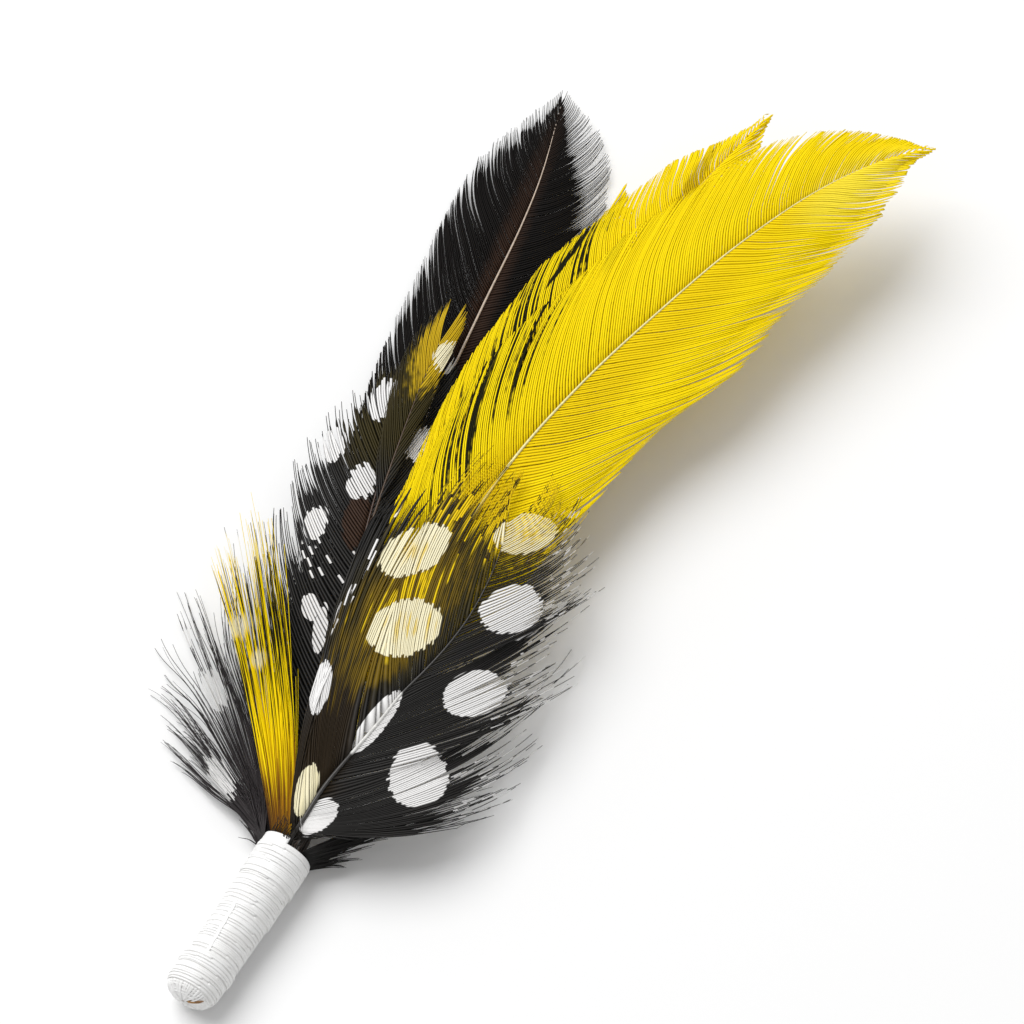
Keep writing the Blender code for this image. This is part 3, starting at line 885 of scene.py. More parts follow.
@dataclass
class ThreadBinding:
    """White thread wound round the stems, with crossed threads over their cut ends."""

    node: str = "thread_binding"
    slot: str = "thread"
    pitch: float = 0.21
    thread: float = 0.135
    flatness: float = 0.55
    lean: float = 0.0016
    seed: int = 7
    back: Profile = (-0.1, 0.3, 3.9, 4.1, 7.9, 8.2, 13.7, 14.0, 15.2, 15.4, 16.9, 17.5, 18.1, 18.5, 18.7)
    radius: Profile = (2.8, 2.94, 2.95, 2.82, 2.86, 2.74, 2.72, 2.88, 2.92, 2.78, 2.78, 2.64, 2.2, 1.5, 0.5)

    CORNERS = 48
    TURN_RINGS = 72

    def __post_init__(self) -> None:
        """Starts the binding's own run of random numbers and readies its profile for sums."""
        self.random = np.random.default_rng(self.seed)
        self.back, self.radius = np.array(self.back), np.array(self.radius)

    def _wrap(self, turn: Array, back: Array, radius: Array) -> tuple[Array, Array]:
        """Places round the binding, by turn from the right over the top, and the directions out of it."""
        outward = np.stack([np.cos(turn), np.zeros_like(turn), np.sin(turn)], -1)
        centre = np.stack([-self.lean * back**2, -back, np.full_like(back, PLACE.axis_z)], -1)
        return centre + outward * radius[..., None], outward

    def _lay(
        self, strands: StrandMesh, paths: Array, outward: Array, half: Array, column: float
    ) -> None:
        """Adds round threads that lie on the surface."""
        along = unit(np.gradient(paths, axis=1))
        across = unit(np.cross(along, outward))
        above = np.cross(across, along)
        columns = (column, column + 0.2)
        tones = self.random.random(len(paths))
        strands.add(paths, across, above, half, half * self.flatness, round_outline(6), tones, 0, columns)

    def _turns(self, strands: StrandMesh) -> None:
        """Winds the thread from the mouth to the rounded end, each turn a little out of line."""
        random = self.random
        back = np.arange(-0.05, 18.6, self.pitch)
        count = len(back)
        each = (count, 1)
        turn = np.linspace(0.0, FULL_TURN, self.TURN_RINGS)[None] + random.uniform(0, FULL_TURN, each)
        drift = sum(
            random.normal(0, size, each) * np.sin(pace * turn + random.uniform(0, FULL_TURN, each))
            for pace, size in ((1, 0.018), (2, 0.014), (5, 0.008), (9, 0.005))
        )
        place = back[:, None] + drift + self.pitch * np.linspace(-0.5, 0.5, self.TURN_RINGS)
        loose = random.normal(0, 0.008, each) + 0.01 * np.sin(3 * turn + random.uniform(0, 6, each))
        radius = np.interp(place, self.back, self.radius) + loose
        paths, outward = self._wrap(turn, place, radius)
        half = np.full(turn.shape, self.thread) * random.uniform(0.85, 1.1, each)
        self._lay(strands, paths, outward, half, 0.2)

    def _rim(self, strands: StrandMesh) -> None:
        """Adds the turns that rise past the mouth at the left and end in a step."""
        count = 4
        turn = np.linspace(math.radians(84), math.radians(262), 40)[None] * np.ones((count, 1))
        back = -0.16 - 0.19 * np.arange(count)[:, None] + self.random.normal(0, 0.02, (count, 1))
        fall = smooth_step(0.75, 1.0, np.linspace(0, 1, 40))[None] * np.arange(1, count + 1)[:, None] * 0.2
        paths, outward = self._wrap(turn, back + fall, np.full(turn.shape, 2.84))
        self._lay(strands, paths, outward, np.full(turn.shape, self.thread), 0.4)

    def _crossings(self, strands: StrandMesh) -> None:
        """Adds the threads laid along the side and those crossed over the rounded end."""
        along = np.linspace(0.0, 1.0, 30)[None]
        starts = np.radians([[109.0], [105.5]])
        turn = starts + (np.radians([[97.0], [94.0]]) - starts) * along + 0.01 * np.sin(along * 25)
        place = 7.6 + 6.3 * along * np.ones((2, 1))
        paths, outward = self._wrap(turn, place, np.interp(place, self.back, self.radius) + 0.04)
        self._lay(strands, paths, outward, np.full(turn.shape, self.thread), 0.6)
        count = 60
        size = np.linspace(2.5, 0.2, 24)[None] * np.ones((count, 1))
        turn = (np.arange(count) + self.random.uniform(-0.3, 0.3, count))[:, None] * FULL_TURN / count
        turn = turn + self.random.normal(0, 0.12, (count, 1)) * (1 - size / 2.5)
        place = np.interp(-size, -self.radius[-5:], self.back[-5:])
        place += self.random.uniform(0.0, 0.1, (count, 1))
        paths, _ = self._wrap(turn, place, size)
        outward = np.broadcast_to([0.0, -1.0, 0.0], paths.shape)
        half = self.thread * np.clip(size / 1.4, 0.3, 1.0)
        self._lay(strands, paths, outward, half, 0.8)

    def build(self) -> None:
        """Makes the binding's mesh and dresses it."""
        strands = StrandMesh(f"{self.node}_wound")
        rings = len(self.back)
        paths = np.stack([-self.lean * self.back**2, -self.back, np.full(rings, PLACE.axis_z)], -1)[None]
        size = (self.radius - 0.02)[None]
        right = np.broadcast_to([1.0, 0.0, 0.0], paths.shape)
        up = np.broadcast_to([0.0, 0.0, 1.0], paths.shape)
        tone = np.array([0.5])
        strands.add(paths, right, up, size, size, round_outline(self.CORNERS), tone, 0, (0.0, 0.2))
        self._turns(strands)
        self._rim(strands)
        self._crossings(strands)
        share = np.linspace(-1.0, 1.0, 16)
        slit = np.stack([1.6 * share, np.full(16, -18.62), PLACE.axis_z + 0.35 + 0.9 * share], -1)
        slit[:, 1] += 0.4 * share**2
        thick = 0.3 * np.sqrt(1.02 - share**2)[None]
        flat = np.broadcast_to([0.0, -1.0, 0.0], (1, 16, 3))
        tall = np.broadcast_to([0.0, 0.0, 1.0], (1, 16, 3))
        strands.add(slit[None], tall, flat, thick, thick * 0.6, round_outline(8), tone, 1, (0.9, 1.0))
        strands.build(self.node, self.slot, [self._material(), self._quill()])

    def _material(self) -> bpy.types.Material:
        """Satin white thread with a fine twist, painted greyer at each thread's sides as shade where its
        turns meet.
        """
        material, bench, shader = new_material("white wound thread", 0.42)
        broad = bench.noise(bench.place(), 500.0, 3.0)
        colour = bench.mix(bench.span(broad, 0.3, 0.7, (0.0, 1.0)), (0.87, 0.865, 0.855), (0.93, 0.93, 0.925))
        # Painted shade: each thread turns greyer towards its sides, where the turns meet.
        edge = bench.span(bench.maths("ABSOLUTE", bench.barb_data()[2]), 0.5, 1.0, (0.0, 0.6))
        colour = bench.mix(edge, colour, (0.82, 0.81, 0.79))
        fine = bench.noise(bench.place(), 6000.0, 2.0)
        bump = bench.fill(bench.node("ShaderNodeBump"), Distance=0.04 * MM, Strength=0.5, Height=fine)
        bench.fill(shader, Base_Color=colour, Normal=bump.outputs[0], Sheen_Weight=0.2)
        return material

    def _quill(self) -> bpy.types.Material:
        """Amber brown cut quill, with a fine mottle of darker and lighter brown."""
        material, bench, shader = new_material("cut quill", 0.5)
        tone = bench.span(bench.noise(bench.place(), 3000.0, 2.0), 0.35, 0.65, (0.0, 1.0))
        bench.fill(shader, Base_Color=bench.mix(tone, (0.1, 0.035, 0.006), (0.4, 0.2, 0.04)))
        return material


# The groove colour of each barb finish below, given by name or third, is painted shade between barbs.
SPOTTED = dict(web=(0.009, 0.0082, 0.0075), ridge=(0.026, 0.0245, 0.023), groove_shade=(0.3, 0.3, 0.3), shine=0.22)
YELLOW = dict(
    web=(0.98, 0.71, 0), ridge=(0.99, 0.78, 0.002), groove_shade=(0.985, 0.96, 0.86),
    roughness=0.65, shine=0.1, unevenness=0.3,
)
WHITE = (0.88, 0.87, 0.86)
CREAM = (0.94, 0.87, 0.6)
OLIVE = (0.035, 0.026, 0.002)
DYE = (0.86, 0.6, 0.001)
GOLDEN = (0.16, 0.1, 0.001)
BROWN = (0.045, 0.022, 0.012)
SLIT = (0.012, 0.012, 0.002)
BROWN_DYE = (0.25, 0.13, 0.001)


def see_through(patch: Patch) -> tuple[Layer, Layer]:
    """Layers for a band where the dark below shows between dyed barbs."""
    return (
        Layer(SLIT, (patch,), edge=0.5, jag=0.5, thin=-0.5, part=Part.GROOVES),
        Layer(SLIT, (patch,), edge=0.3, jag=2.4, streaks=1.2, flecks=1, thin=0.55),
    )


FRONT_SPOTTED = BarbFinish(
    "front spotted barbs", **SPOTTED, beats=5, duty=0.36,
    layers=(
        Layer(
            (0.78, 0.77, 0.76),
            (Patch(13.1, 33.8, 9, 4.5, 91), Patch(13, 20, 11, 5, 70), Patch(9.8, 42.6, 7, 3, 111)),
            edge=0.05, part=Part.DASHES, start=0.72,
        ),
        Layer(OLIVE, (Patch(-0.6, 21.2, 6, 2.6, 60), Patch(-5.3, 26.5, 7, 2.4, 96)), edge=0.6, streaks=1.6),
        Layer((0.02, 0.011, 0.002), (Patch(-1.6, 10.4, 8, 2.6, 98),), edge=0.6, streaks=1.2),
        Layer(OLIVE, (Patch(1.6, 34.5, 8, 5, 80),), edge=0.5, streaks=1.2),
        Layer(WHITE, (Patch(-7.6, 27.2, 8, 0.5, 93),), edge=0.1, jag=1.2, thin=0.3, part=Part.DASHES),
        Layer(GOLDEN, (Patch(-1.9, 27.5, 9, 3.8, 80), Patch(-0.8, 20.8, 4, 1.8, 60)), 0.4, streaks=2.4),
        Layer(DYE, (Patch(-1.8, 28.5, 9, 4.2, 85),), edge=0.2, jag=1.4, streaks=2.8, thin=0.95),
        Layer(DYE, (Patch(1, 44.5, 9, 6, 50),), edge=0.3, jag=0.9, streaks=1.2, thin=0.1),
        Layer((0.04, 0.025, 0.003), (Patch(1.6, 43, 9, 7, 50),), 0.1, 1.6, thin=0.5, part=Part.DASHES),
        Layer(
            WHITE,
            (
                Patch(1.7, 4, 2.3, 1.4, 70), Patch(8.4, 12.5, 3.2, 2.8, 72), Patch(9.1, 22.8, 3.4, 2.2, 57),
                Patch(7.8, 32.3, 3.4, 2.4, 58), Patch(2, 15, 3.9, 1.1, 82), Patch(-4.9, 15.5, 2.9, 1, 108),
            ),
        ),
        Layer(
            CREAM,
            (
                Patch(5, 40.3, 3.3, 2.2, 49), Patch(-0.8, 5.8, 2.7, 1.1, 105),
                Patch(-0.5, 25.1, 3.9, 3, 51), Patch(-4.1, 33.2, 4, 2.6, 60),
            ),
        ),
        Layer(
            (0.85, 0.6, 0.04),
            (Patch(-0.5, 25.1, 3.6, 2.7, 51), Patch(-4.1, 33.2, 3.7, 2.3, 60), Patch(5, 40.3, 3.1, 2, 49)),
            edge=0.4, jag=0.5, streaks=4, thin=0.9, strength=0.8,
        ),
    ),
)
BLACK_BARBS = BarbFinish(
    "black barbs", (0.003, 0.0024, 0.0021), (0.008, 0.006, 0.0053), (0.4, 0.4, 0.4), shine=0.1,
    layers=(Layer((0.03, 0.015, 0.009), (Patch(-15.2, 66, 22, 1.3, 101),), edge=0.6, streaks=0.8),),
)
LEFT_SPOTTED = BarbFinish(
    "left spotted barbs", **SPOTTED, beats=6, duty=0.4,
    layers=(
        Layer(OLIVE, (Patch(-16.5, 48, 7, 4, 110),), edge=0.5, streaks=0.8),
        Layer(BROWN, (Patch(-12.8, 35.8, 3.1, 1.5, 113),), edge=0.1, streaks=0.5),
        Layer(
            WHITE,
            (Patch(-14.5, 30.2, 3.4, 2.6, 110), Patch(-11, 30.5, 3.4, 1.2, 105)),
            edge=0.1, jag=2, thin=1, part=Part.DASHES,
        ),
        Layer(
            WHITE,
            (
                Patch(-16.5, 33.7, 2, 1.2, 117), Patch(-14.8, 40.2, 2.1, 1.5, 103),
                Patch(-19.9, 42.7, 2.1, 1.3, 114), Patch(-17.8, 50, 2.6, 1.8, 107),
                Patch(-11.9, 24.8, 1.5, 0.9, 124), Patch(-9.6, 22.9, 3, 0.7, 112),
                Patch(-11.9, 47.1, 2.2, 1.3, 107),
            ),
            jag=0.35,
        ),
    ),
)
BACK_SPOTTED = BarbFinish(
    "back spotted barbs", **SPOTTED,
    layers=(Layer(WHITE, (Patch(-15.1, 57.6, 1.7, 1.2, 95), Patch(-12.4, 47.7, 2, 1.3, 99))),),
)
SIDE_TUFT = BarbFinish(
    "side tuft barbs", (0.012, 0.0085, 0.009), (0.03, 0.022, 0.024), (0.3, 0.3, 0.3),
    layers=(
        Layer(
            WHITE,
            (
                Patch(-16.4, 12.7, 2.6, 1, 139), Patch(-22.1, 16.5, 1.3, 0.8, 129),
                Patch(-10.6, 4.6, 2.6, 0.9, 150), Patch(-13, 16, 1.6, 0.5, 130),
            ),
            jag=0.5,
        ),
    ),
)
FRONT_DYED = BarbFinish(
    "front dyed barbs", **YELLOW,
    layers=(
        # Painted shade: a darker yellow strip along the shaft, where the vane dips to it.
        Layer((0.8, 0.54, 0), (Patch(3, 60, 34, 2.6, 75),), edge=0.6, streaks=0.6, strength=0.6),
        Layer((0.97, 0.79, 0.06), (Patch(14.5, 92.8, 6, 2.2, 65),), edge=0.6, strength=0.7),
        Layer(
            BROWN_DYE,
            (Patch(1.6, 54.6, 12, 1.8, 78), Patch(-0.9, 55.6, 12, 1.8, 80), Patch(4.9, 56, 6.5, 1.4, 63)),
            edge=0.1, jag=0.5, flecks=9, thin=1.3, part=Part.GROOVES,
        ),
        Layer(BROWN_DYE, (Patch(0.5, 52, 14, 5, 78),), edge=0.5, part=Part.GROOVES, strength=0.45),
        *see_through(Patch(-6.9, 56, 12.5, 1.9, 94)),
        Layer(SLIT, (Patch(-3.8, 74.4, 2.8, 0.6, 96),), edge=0.3, part=Part.GROOVES),
    ),
)
MIDDLE_DYED = BarbFinish(
    "middle dyed barbs", **YELLOW,
    layers=(
        *see_through(Patch(-7.9, 63.5, 13, 2, 93)),
        Layer(SLIT, (Patch(-8.5, 72.7, 4.9, 0.35, 88),), edge=0.1, jag=0.4),
        Layer(BROWN_DYE, (Patch(-1.2, 86.3, 6.1, 0.7, 93),), edge=0.4, streaks=1, strength=0.5),
    ),
)
BACK_DYED = BarbFinish("back dyed barbs", **YELLOW, layers=see_through(Patch(-8.8, 66, 13, 1.7, 92)))
DYED_TUFT = BarbFinish(
    "side tuft dyed barbs", **YELLOW,
    layers=(
        Layer((0.02, 0.018, 0.004), (Patch(-14, 20, 17, 7, 125),), edge=0.1, jag=1.8, thin=0.75),
        Layer(
            CREAM,
            (Patch(-22, 26, 2.2, 1.2, 30), Patch(-16.7, 18.8, 1.2, 1, 110), Patch(-13, 16.4, 1, 0.8, 110)),
            edge=0.3, jag=0.9, strength=0.8,
        ),
        Layer((0.02, 0.014, 0.006), (Patch(-25.5, 29, 2.4, 2, 120),), edge=0.2, jag=0.8),
        Layer((0.34, 0.14, 0.003), (Patch(-2.2, 2.2, 6.5, 3.4, 115),), edge=0.7, jag=0.8, streaks=1),
        Layer((0.06, 0.022, 0.004), (Patch(-3.2, 1.4, 3.6, 2.2, 125),), edge=0.6, jag=1.4),
    ),
)
SMALL_DYED = BarbFinish(
    "small dyed barbs", **SPOTTED,
    layers=(
        Layer(OLIVE, (Patch(-15.5, 52, 9, 5, 100),), edge=0.4),
        Layer((0.6, 0.4, 0.005), (Patch(-15.8, 59, 6.5, 2.2, 96),), edge=0.3, streaks=1.2),
        Layer(CREAM, (Patch(-14.5, 57.3, 1.8, 1.3, 100),), jag=0.4),
    ),
)

SMOOTH_VANE = dict(
    pitch=0.2, fray=0.02, web_to=(1, 1, 1, 0.97, 0.95, 0.93),
    locks=Tuft(40, 0.05, 0.4), wisps=Tuft(3, 0.12, 0.85), lift=0.06, wave=0.25, curl=0.7,
)
BLACK_VANE = dict(pitch=0.2, fray=0.06, locks=Tuft(14, 0.15, 0.5), wisps=Tuft(2, 0.2, 0.8), wave=0.3)
EDGE_VANE = dict(
    pitch=0.27, fray=0.2, web_to=(0.6, 0.6, 0.7, 0.82, 0.85, 0.8),
    locks=Tuft(12, 0.15, 0.5), wisps=Tuft(2, 0.5, 0.7),
)
LOOSE_VANE = dict(
    pitch=0.21, fray=0.04, web_to=(0.95, 0.95),
    locks=Tuft(26, 0.1, 0.5), wisps=Tuft(4, 0.25, 0.85), lift=0.08, wave=0.25,
)
DYED_FEATHER = dict(slot="yellow_barbs", barb_height=0.01, barb_half_width=0.04, shingle=0.06, arch=0.3)


def rows(*coordinates: Profile) -> tuple[Point, ...]:
    """Points from a row of their x, a row of their y and a row of their z."""
    return tuple(zip(*coordinates))


def dyed_shaft(name: str, tip: Colour) -> ShaftFinish:
    """Shaft that turns from dark brown to its dyed colour just past the binding."""
    return ShaftFinish(name, (0.03, 0.015, 0.006), tip, change=(0.18, 0.26))


# Every feather and tuft of the trim, from the lowest up.
PLUMES = (
    Feather(
        node="black_feather", slot="black_barbs", seat=(0, -1.6), seed=11,
        course=rows(
            (-4.2, -9.6, -13.2, -15.3, -16.8, -18.2, -21),
            (17, 36, 52, 66, 77, 84, 93.4),
            (1.5, 1.7, 1.8, 1.8, 1.6, 1.4, 1.1),
        ),
        vane_start=34,
        left=Side(
            (16, 15.1, 15.2, 16.1, 14.1, 8.6, 2), (26, 31, 32, 32, 33, 28, 5),
            (0.8, 1, 1, 1, 0.8, 0.5, 0.2), web_to=(0.96, 0.96, 0.94, 0.9, 0.76, 0.6), **BLACK_VANE,
        ),
        right=Side(
            (17.9, 18.2, 18.5, 17, 13.8, 9, 2), (26, 28, 28, 31, 32, 33, 5),
            (0.8, 0.8, 0.8, 0.8, 0.7, 0.5, 0.2), web_to=(0.94, 0.9, 0.84, 0.62, 0.42, 0.35),
            curl=0.9, **BLACK_VANE,
        ),
        finish=BLACK_BARBS, barb_height=0.05, barb_half_width=0.05,
        shaft=ShaftFinish("black feather shaft", (0.5, 0.36, 0.28), (0.62, 0.5, 0.4)),
    ),
    BarbFan(
        node="spotted_side_tuft", slot="spotted_barbs", seat=(-1.15, -1.1), seed=12,
        fans=(
            Fan(
                roots=rows((-3.2, -2.9, -2.5, -2.1, -1.6), (0.4, 1, 1.6, 1.9, 2), (2.4, 2.8, 3, 3.2, 3.2)),
                middles=rows(
                    (-12.1, -13.8, -14.6, -15.5, -15.2, -12.9, -11.4),
                    (4, 6.3, 8.7, 12.6, 14.5, 14.3, 15),
                    (1.2, 1.4, 1.6, 1.9, 2.2, 2.6, 3),
                ),
                tips=rows(
                    (-19.2, -21.5, -24.2, -26.4, -26.5, -24.2, -20.8),
                    (5, 7.1, 11.6, 21, 25.2, 28.4, 27.3),
                    (0.5, 0.6, 0.8, 1, 1.4, 2, 2.6),
                ),
                barbs=165, half_width=0.07, wave=1.6, spread=0.4,
            ),
            Fan(
                roots=((-2.9, -0.2, 1.6), (-3, 0.2, 3), (-2.6, 0.4, 4.2)),
                middles=((-4.6, 1.2, 1.2), (-5.4, 2.6, 2.4), (-4.6, 3.4, 3.8)),
                tips=((-6.4, 2, 0.8), (-8.6, 5.2, 2), (-7.4, 8, 3.4)),
                barbs=60, spread=0.5,
            ),
        ),
        finish=SIDE_TUFT,
        shaft=ShaftFinish("side tuft shaft", (0.02, 0.014, 0.01), (0.012, 0.01, 0.009)),
    ),
    Feather(
        node="spotted_back_feather", slot="spotted_barbs", seat=(0, -0.5), seed=13,
        course=rows(
            (-2.1, -4.6, -7.6, -9.2, -10.9, -12.8, -14.4),
            (6.1, 12.3, 21.4, 32.9, 43, 49.2, 55.4),
            (2.8, 3.1, 3.3, 3.3, 3.2, 3.1, 3),
        ),
        vane_start=13,
        left=Side((14, 16, 16, 14, 11, 4), (20, 24, 26, 26, 24, 10), (0.5, 0.5, 0.5, 0.5, 0.4, 0.1)),
        right=Side((12, 14, 16, 14, 10, 4), (22, 24, 26, 26, 24, 10), (0.5, 0.5, 0.5, 0.5, 0.4, 0.1)),
        finish=BACK_SPOTTED, shaft=ShaftFinish("back spotted shaft", (0.3, 0.24, 0.2), (0.6, 0.55, 0.5)),
    ),
    Feather(
        node="spotted_left_feather", slot="spotted_barbs", seat=(-1.2, 0), seed=14,
        course=rows(
            (-2.7, -4.9, -8.4, -12.3, -14.6, -16.8),
            (6.1, 12.3, 25.5, 38, 45.6, 52.6),
            (3.9, 4.3, 4.5, 4.5, 4.4, 4.3),
        ),
        vane_start=6,
        left=Side(
            (20, 22, 20, 16, 11, 4), (20, 28, 31, 32, 26, 10), (0.8, 1.2, 1.6, 1.4, 1, 0.2), **EDGE_VANE,
        ),
        right=Side((8, 10, 12, 12, 9, 4), (20, 22, 22, 22, 20, 10), (0.2, 0.3, 0.4, 0.4, 0.2, 0.1), 0.23),
        finish=LEFT_SPOTTED,
        shaft=ShaftFinish(
            "left spotted shaft", (0.03, 0.018, 0.012), (0.06, 0.03, 0.018),
            spots=(Patch(-8.3, 24.2, 3.8, 0.9, 80), Patch(-10.8, 32, 1, 0.9, 100)),
        ),
    ),
    Feather(
        node="yellow_small_feather", slot="yellow_barbs", seat=(0, 0.6), seed=15,
        course=rows(
            (-1.7, -5.5, -10.8, -14.6, -16), (6.1, 16.4, 34.7, 50.7, 58.5), (4.9, 5.4, 5.5, 5.5, 5.3)
        ),
        vane_start=40,
        left=Side((8, 10, 11, 10, 8, 6), (14, 16, 16, 16, 14, 8), (0.3,) * 6, 0.17),
        right=Side((6, 8, 9, 9, 8, 6), (10, 12, 12, 12, 12, 8), (0.2,) * 6, 0.17),
        finish=SMALL_DYED, shaft=ShaftFinish("small dyed shaft", (0.02, 0.012, 0.008), (0.06, 0.03, 0.01)),
    ),
    BarbFan(
        node="yellow_side_tuft", slot="yellow_barbs", seat=(-1.15, 1.1), seed=16,
        fans=(
            Fan(
                roots=rows((-1.9, -1.3, -0.6, -0.1), (0.6, 0.9, 1.1, 1.2), (4.6, 5, 5.3, 5.6)),
                middles=rows(
                    (-15.6, -13.2, -10.2, -6, -3.2), (17.4, 16.9, 16.2, 12.5, 10.3), (6.2, 6.4, 6.6, 6.8, 7.1)
                ),
                tips=rows(
                    (-23.6, -25.4, -24.8, -24.2, -19.4),
                    (24.2, 29.5, 32.7, 35.2, 28),
                    (5.2, 5.4, 5.8, 6.2, 6.4),
                ),
                barbs=170, half_width=0.075, wave=1.4, spread=0.35,
            ),
        ),
        finish=DYED_TUFT, shaft=ShaftFinish("side tuft dyed shaft", (0.03, 0.015, 0.006), (0.1, 0.04, 0.006)),
    ),
    Feather(
        node="yellow_back_feather", **DYED_FEATHER, seat=(1.15, -1.15), seed=17,
        course=rows(
            (0.6, -2.2, -5.6, -6.8, -6.8, -7.2, -8.1),
            (6, 18.3, 36.6, 50.7, 60.7, 70.7, 80.6),
            (3.2, 5.8, 6.7, 6.8, 6.8, 6.8, 6.6),
        ),
        vane_start=20,
        left=Side(
            (14.6, 17.6, 17.5, 14.7, 11.7, 7.3, 1), (9, 10, 13, 16, 19, 16, 2), (0.4,) * 6, **SMOOTH_VANE,
        ),
        right=Side((16, 18, 18, 17, 12, 5), (20, 20, 20, 20, 20, 2), (0.2,) * 6, **LOOSE_VANE),
        finish=BACK_DYED, shaft=dyed_shaft("back dyed shaft", (0.8, 0.55, 0.02)),
    ),
    Feather(
        node="yellow_middle_feather", **DYED_FEATHER, seat=(1.2, 0), seed=18,
        course=rows(
            (0.7, -1, -3.6, -5, -4.2, -2.3, -1.2, -0.7, 1.5),
            (8.1, 17.3, 28.6, 44.8, 57.3, 67.8, 77.6, 85.5, 98),
            (4.8, 6.6, 7.6, 8.1, 8.3, 8.6, 9, 9.2, 9.2),
        ),
        vane_start=27,
        left=Side((13, 15, 15.7, 14.7, 11.4, 6, 1.5), (18, 22, 27, 34, 29, 26, 5), (0.5,) * 7, **SMOOTH_VANE),
        right=Side(
            (16, 17.4, 18.8, 17.9, 14.1, 8.3, 1.5), (20, 20, 21, 19, 24, 18, 5), (0.2,) * 7, **LOOSE_VANE,
        ),
        finish=MIDDLE_DYED, shaft=dyed_shaft("middle dyed shaft", (0.9, 0.68, 0.06)),
    ),
    Feather(
        node="yellow_front_feather", **DYED_FEATHER, seat=(1.15, 1.1), seed=19,
        course=rows(
            (1.1, 0.2, -1, -1.1, 0.8, 4.1, 7.2, 11.4, 15.6, 19.4),
            (7, 14.2, 28.6, 46.5, 58.8, 71.2, 80.9, 90.7, 97.4, 101.4),
            (5.6, 7.1, 8.9, 9.7, 10.4, 11.3, 12, 12.6, 12.8, 12.9),
        ),
        vane_start=20,
        left=Side((20, 20.4, 20, 18.3, 16.1, 9.5, 1), (20, 22, 22, 27, 26, 28, 5), (0.2,) * 7, **SMOOTH_VANE),
        right=Side(
            (18.2, 22.5, 23.2, 20.8, 16.4, 9.8, 1), (29, 30, 32.5, 28, 30, 29, 5),
            (0.9, 1.2, 1.4, 1.4, 1.2, 0.7, 0.2), **LOOSE_VANE,
        ),
        finish=FRONT_DYED, shaft=dyed_shaft("front dyed shaft", (0.97, 0.88, 0.4)),
        shaft_half_widths=(0.3, 0.25, 0.18, 0.13, 0.09, 0.03),
    ),
    Feather(
        node="spotted_front_feather", slot="spotted_barbs", seat=(0, 1.7), seed=20,
        course=rows(
            (0.4, 0.6, 1.4, 2.2, 2.8, 3.6, 4.3, 4.6, 4.4, 3.8, 2.7),
            (2.6, 6.9, 11, 14.9, 18.8, 22, 25.6, 29.3, 33, 36.8, 40.6),
            (6.2, 7.2, 8.3, 9.2, 9.9, 10.3, 10.7, 11, 11.2, 11.3, 11.4),
        ),
        vane_start=1,
        left=Side(
            (39.3, 36.8, 32.7, 26.9, 20.6, 13.1, 7), (18.7, 17.6, 20.4, 23.7, 14, 8, 4),
            (1.9, 1.1, 0.7, 0.4, 0.3, 0.1, 0.1), pitch=0.2, cover=(1.08, 1.08, 1.08, 1.08, 1, 0.8, 0.6),
            web_to=(0.95, 0.93, 0.85, 0.75, 0.65, 0.5, 0.4),
            locks=Tuft(16, 0.04, 0.6), wisps=Tuft(2, 0.3, 0.85), curl=0.8,
        ),
        right=Side(
            (29.2, 30.4, 27.8, 23.9, 19.2, 14.1, 7.6), (26.2, 21.7, 14.8, 12, 15.7, 26.1, 22),
            (9.5, 9.1, 7.8, 6.1, 4.1, 2.1, 0.5), pitch=0.21, cover=(1.08, 1.08, 1.08, 1, 0.8, 0.5),
            web_to=(0.6, 0.66, 0.68, 0.62, 0.55, 0.4), fray=0.2,
            locks=Tuft(14, 0.08, 0.5), wisps=Tuft(3, 0.8, 0.6), curl=1.1,
        ),
        fans=(
            Fan(
                roots=((1.6, 0.4, 4.6), (2.2, 0.2, 3.6), (2.7, -0.1, 2.4)),
                middles=rows(
                    (7.2, 8.2, 7.1, 5.9, 4.9, 3.9),
                    (8.8, 8.2, 6.6, 4.9, 3.2, 1.6),
                    (4.8, 4.4, 3.7, 2.9, 2.2, 1.9),
                ),
                tips=rows(
                    (16.2, 13.2, 10.2, 8.1, 5.6, 4.4),
                    (20.6, 17.4, 12.5, 9.1, 4.3, 2.2),
                    (1.5, 2.6, 2.9, 2.9, 2.1, 1.3),
                ),
                barbs=140, shortest=0.45, half_width=0.07, wisps=Tuft(5, 0.4, 0.4), spread=0.35,
            ),
            Fan(
                roots=((-1.6, 0.2, 5), (0, 0.2, 5.8), (1.4, 0.2, 5.2)),
                middles=((-2.2, 1.8, 5.6), (-0.4, 2.2, 6.6), (1.6, 2, 6)),
                tips=((-2.8, 4.6, 5.8), (-0.6, 4.4, 7.4), (1.9, 3.6, 7)),
                barbs=24, shortest=0.3, half_width=0.05,
            ),
        ),
        finish=FRONT_SPOTTED, shaft_half_widths=(0.28, 0.26, 0.22, 0.15, 0.1, 0.03), barb_half_width=0.065,
        shaft=ShaftFinish(
            "front spotted shaft", (0.06, 0.055, 0.05), (0.03, 0.027, 0.025),
            spots=(Patch(2, 15, 4, 1.3, 82),),
        ),
    ),
)


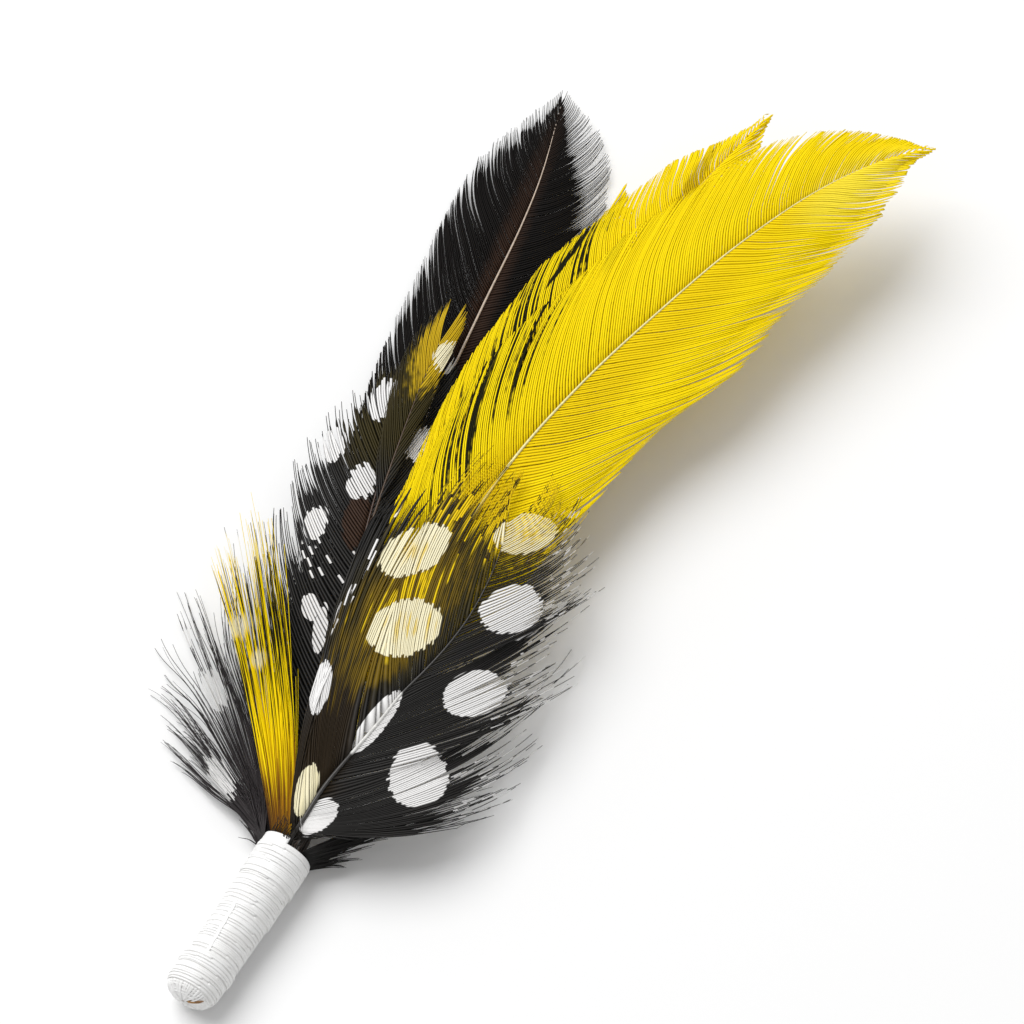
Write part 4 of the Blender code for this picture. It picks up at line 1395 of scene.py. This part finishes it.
@dataclass(frozen=True)
class Studio:
    """Pale floor, soft light from the upper left and the photograph's view."""

    azimuth: float = 30.0
    elevation: float = 62.0
    distance: float = 560.0
    lens: float = 186.43
    target: Point = (-0.58, 47.07, 0.0)
    floor_side: float = 6.0
    world: float = 0.48
    key_power: float = 12.0
    key_size: float = 1.0
    key_distance: float = 1.15
    key_towards: Point = (-1.37, 0.37, 2.46)

    def camera(self) -> None:
        """Makes the camera and looks through it."""
        turn, rise = math.radians(self.azimuth), math.radians(self.elevation)
        back = Vector((math.sin(turn) * math.cos(rise), -math.cos(turn) * math.cos(rise), math.sin(rise)))
        data = bpy.data.cameras.new("photograph")
        data.lens = self.lens
        data.clip_start = 0.01
        data.clip_end = 20.0
        eye = bpy.data.objects.new("photograph", data)
        eye.location = Vector(PLACE.points(self.target)) + back * self.distance * MM
        eye.rotation_euler = (math.pi / 2 - rise, 0.0, turn)
        bpy.context.collection.objects.link(eye)
        bpy.context.scene.camera = eye

    def floor(self) -> None:
        """Lays a white floor, which is attached to no body of the trim."""
        form = bmesh.new()
        bmesh.ops.create_grid(form, x_segments=1, y_segments=1, size=self.floor_side / 2)
        mesh = bpy.data.meshes.new("floor")
        form.to_mesh(mesh)
        form.free()
        material, bench, shader = new_material("white floor", 0.9)
        bench.fill(shader, Base_Color=(0.9, 0.9, 0.9), Specular_IOR_Level=0.1)
        mesh.materials.append(material)
        floor = bpy.data.objects.new("floor", mesh)
        bpy.context.collection.objects.link(floor)

    def lights(self) -> None:
        """Hangs one large softbox at the upper left and lights the air evenly."""
        data = bpy.data.lights.new("softbox", "AREA")
        data.shape = "DISK"
        data.size = self.key_size
        data.energy = self.key_power
        box = bpy.data.objects.new("softbox", data)
        towards = Vector(self.key_towards).normalized()
        box.location = towards * self.key_distance
        box.rotation_euler = towards.to_track_quat("Z", "Y").to_euler()
        bpy.context.collection.objects.link(box)
        world = bpy.data.worlds.new("studio air")
        world.use_nodes = True
        air = world.node_tree.nodes["Background"]
        air.inputs["Color"].default_value = (1.0, 1.0, 1.0, 1.0)
        air.inputs["Strength"].default_value = self.world
        bpy.context.scene.world = world
        bpy.context.scene.view_settings.view_transform = "Standard"

    def build(self) -> None:
        """Sets up the camera, floor and lights."""
        self.camera()
        self.floor()
        self.lights()


def main() -> None:
    """Builds the studio, the binding and every feather."""
    logging.basicConfig(level=logging.INFO, format="%(message)s")
    Studio().build()
    ThreadBinding().build()
    for plume in PLUMES:
        plume.build()


if __name__ == "__main__":
    main()
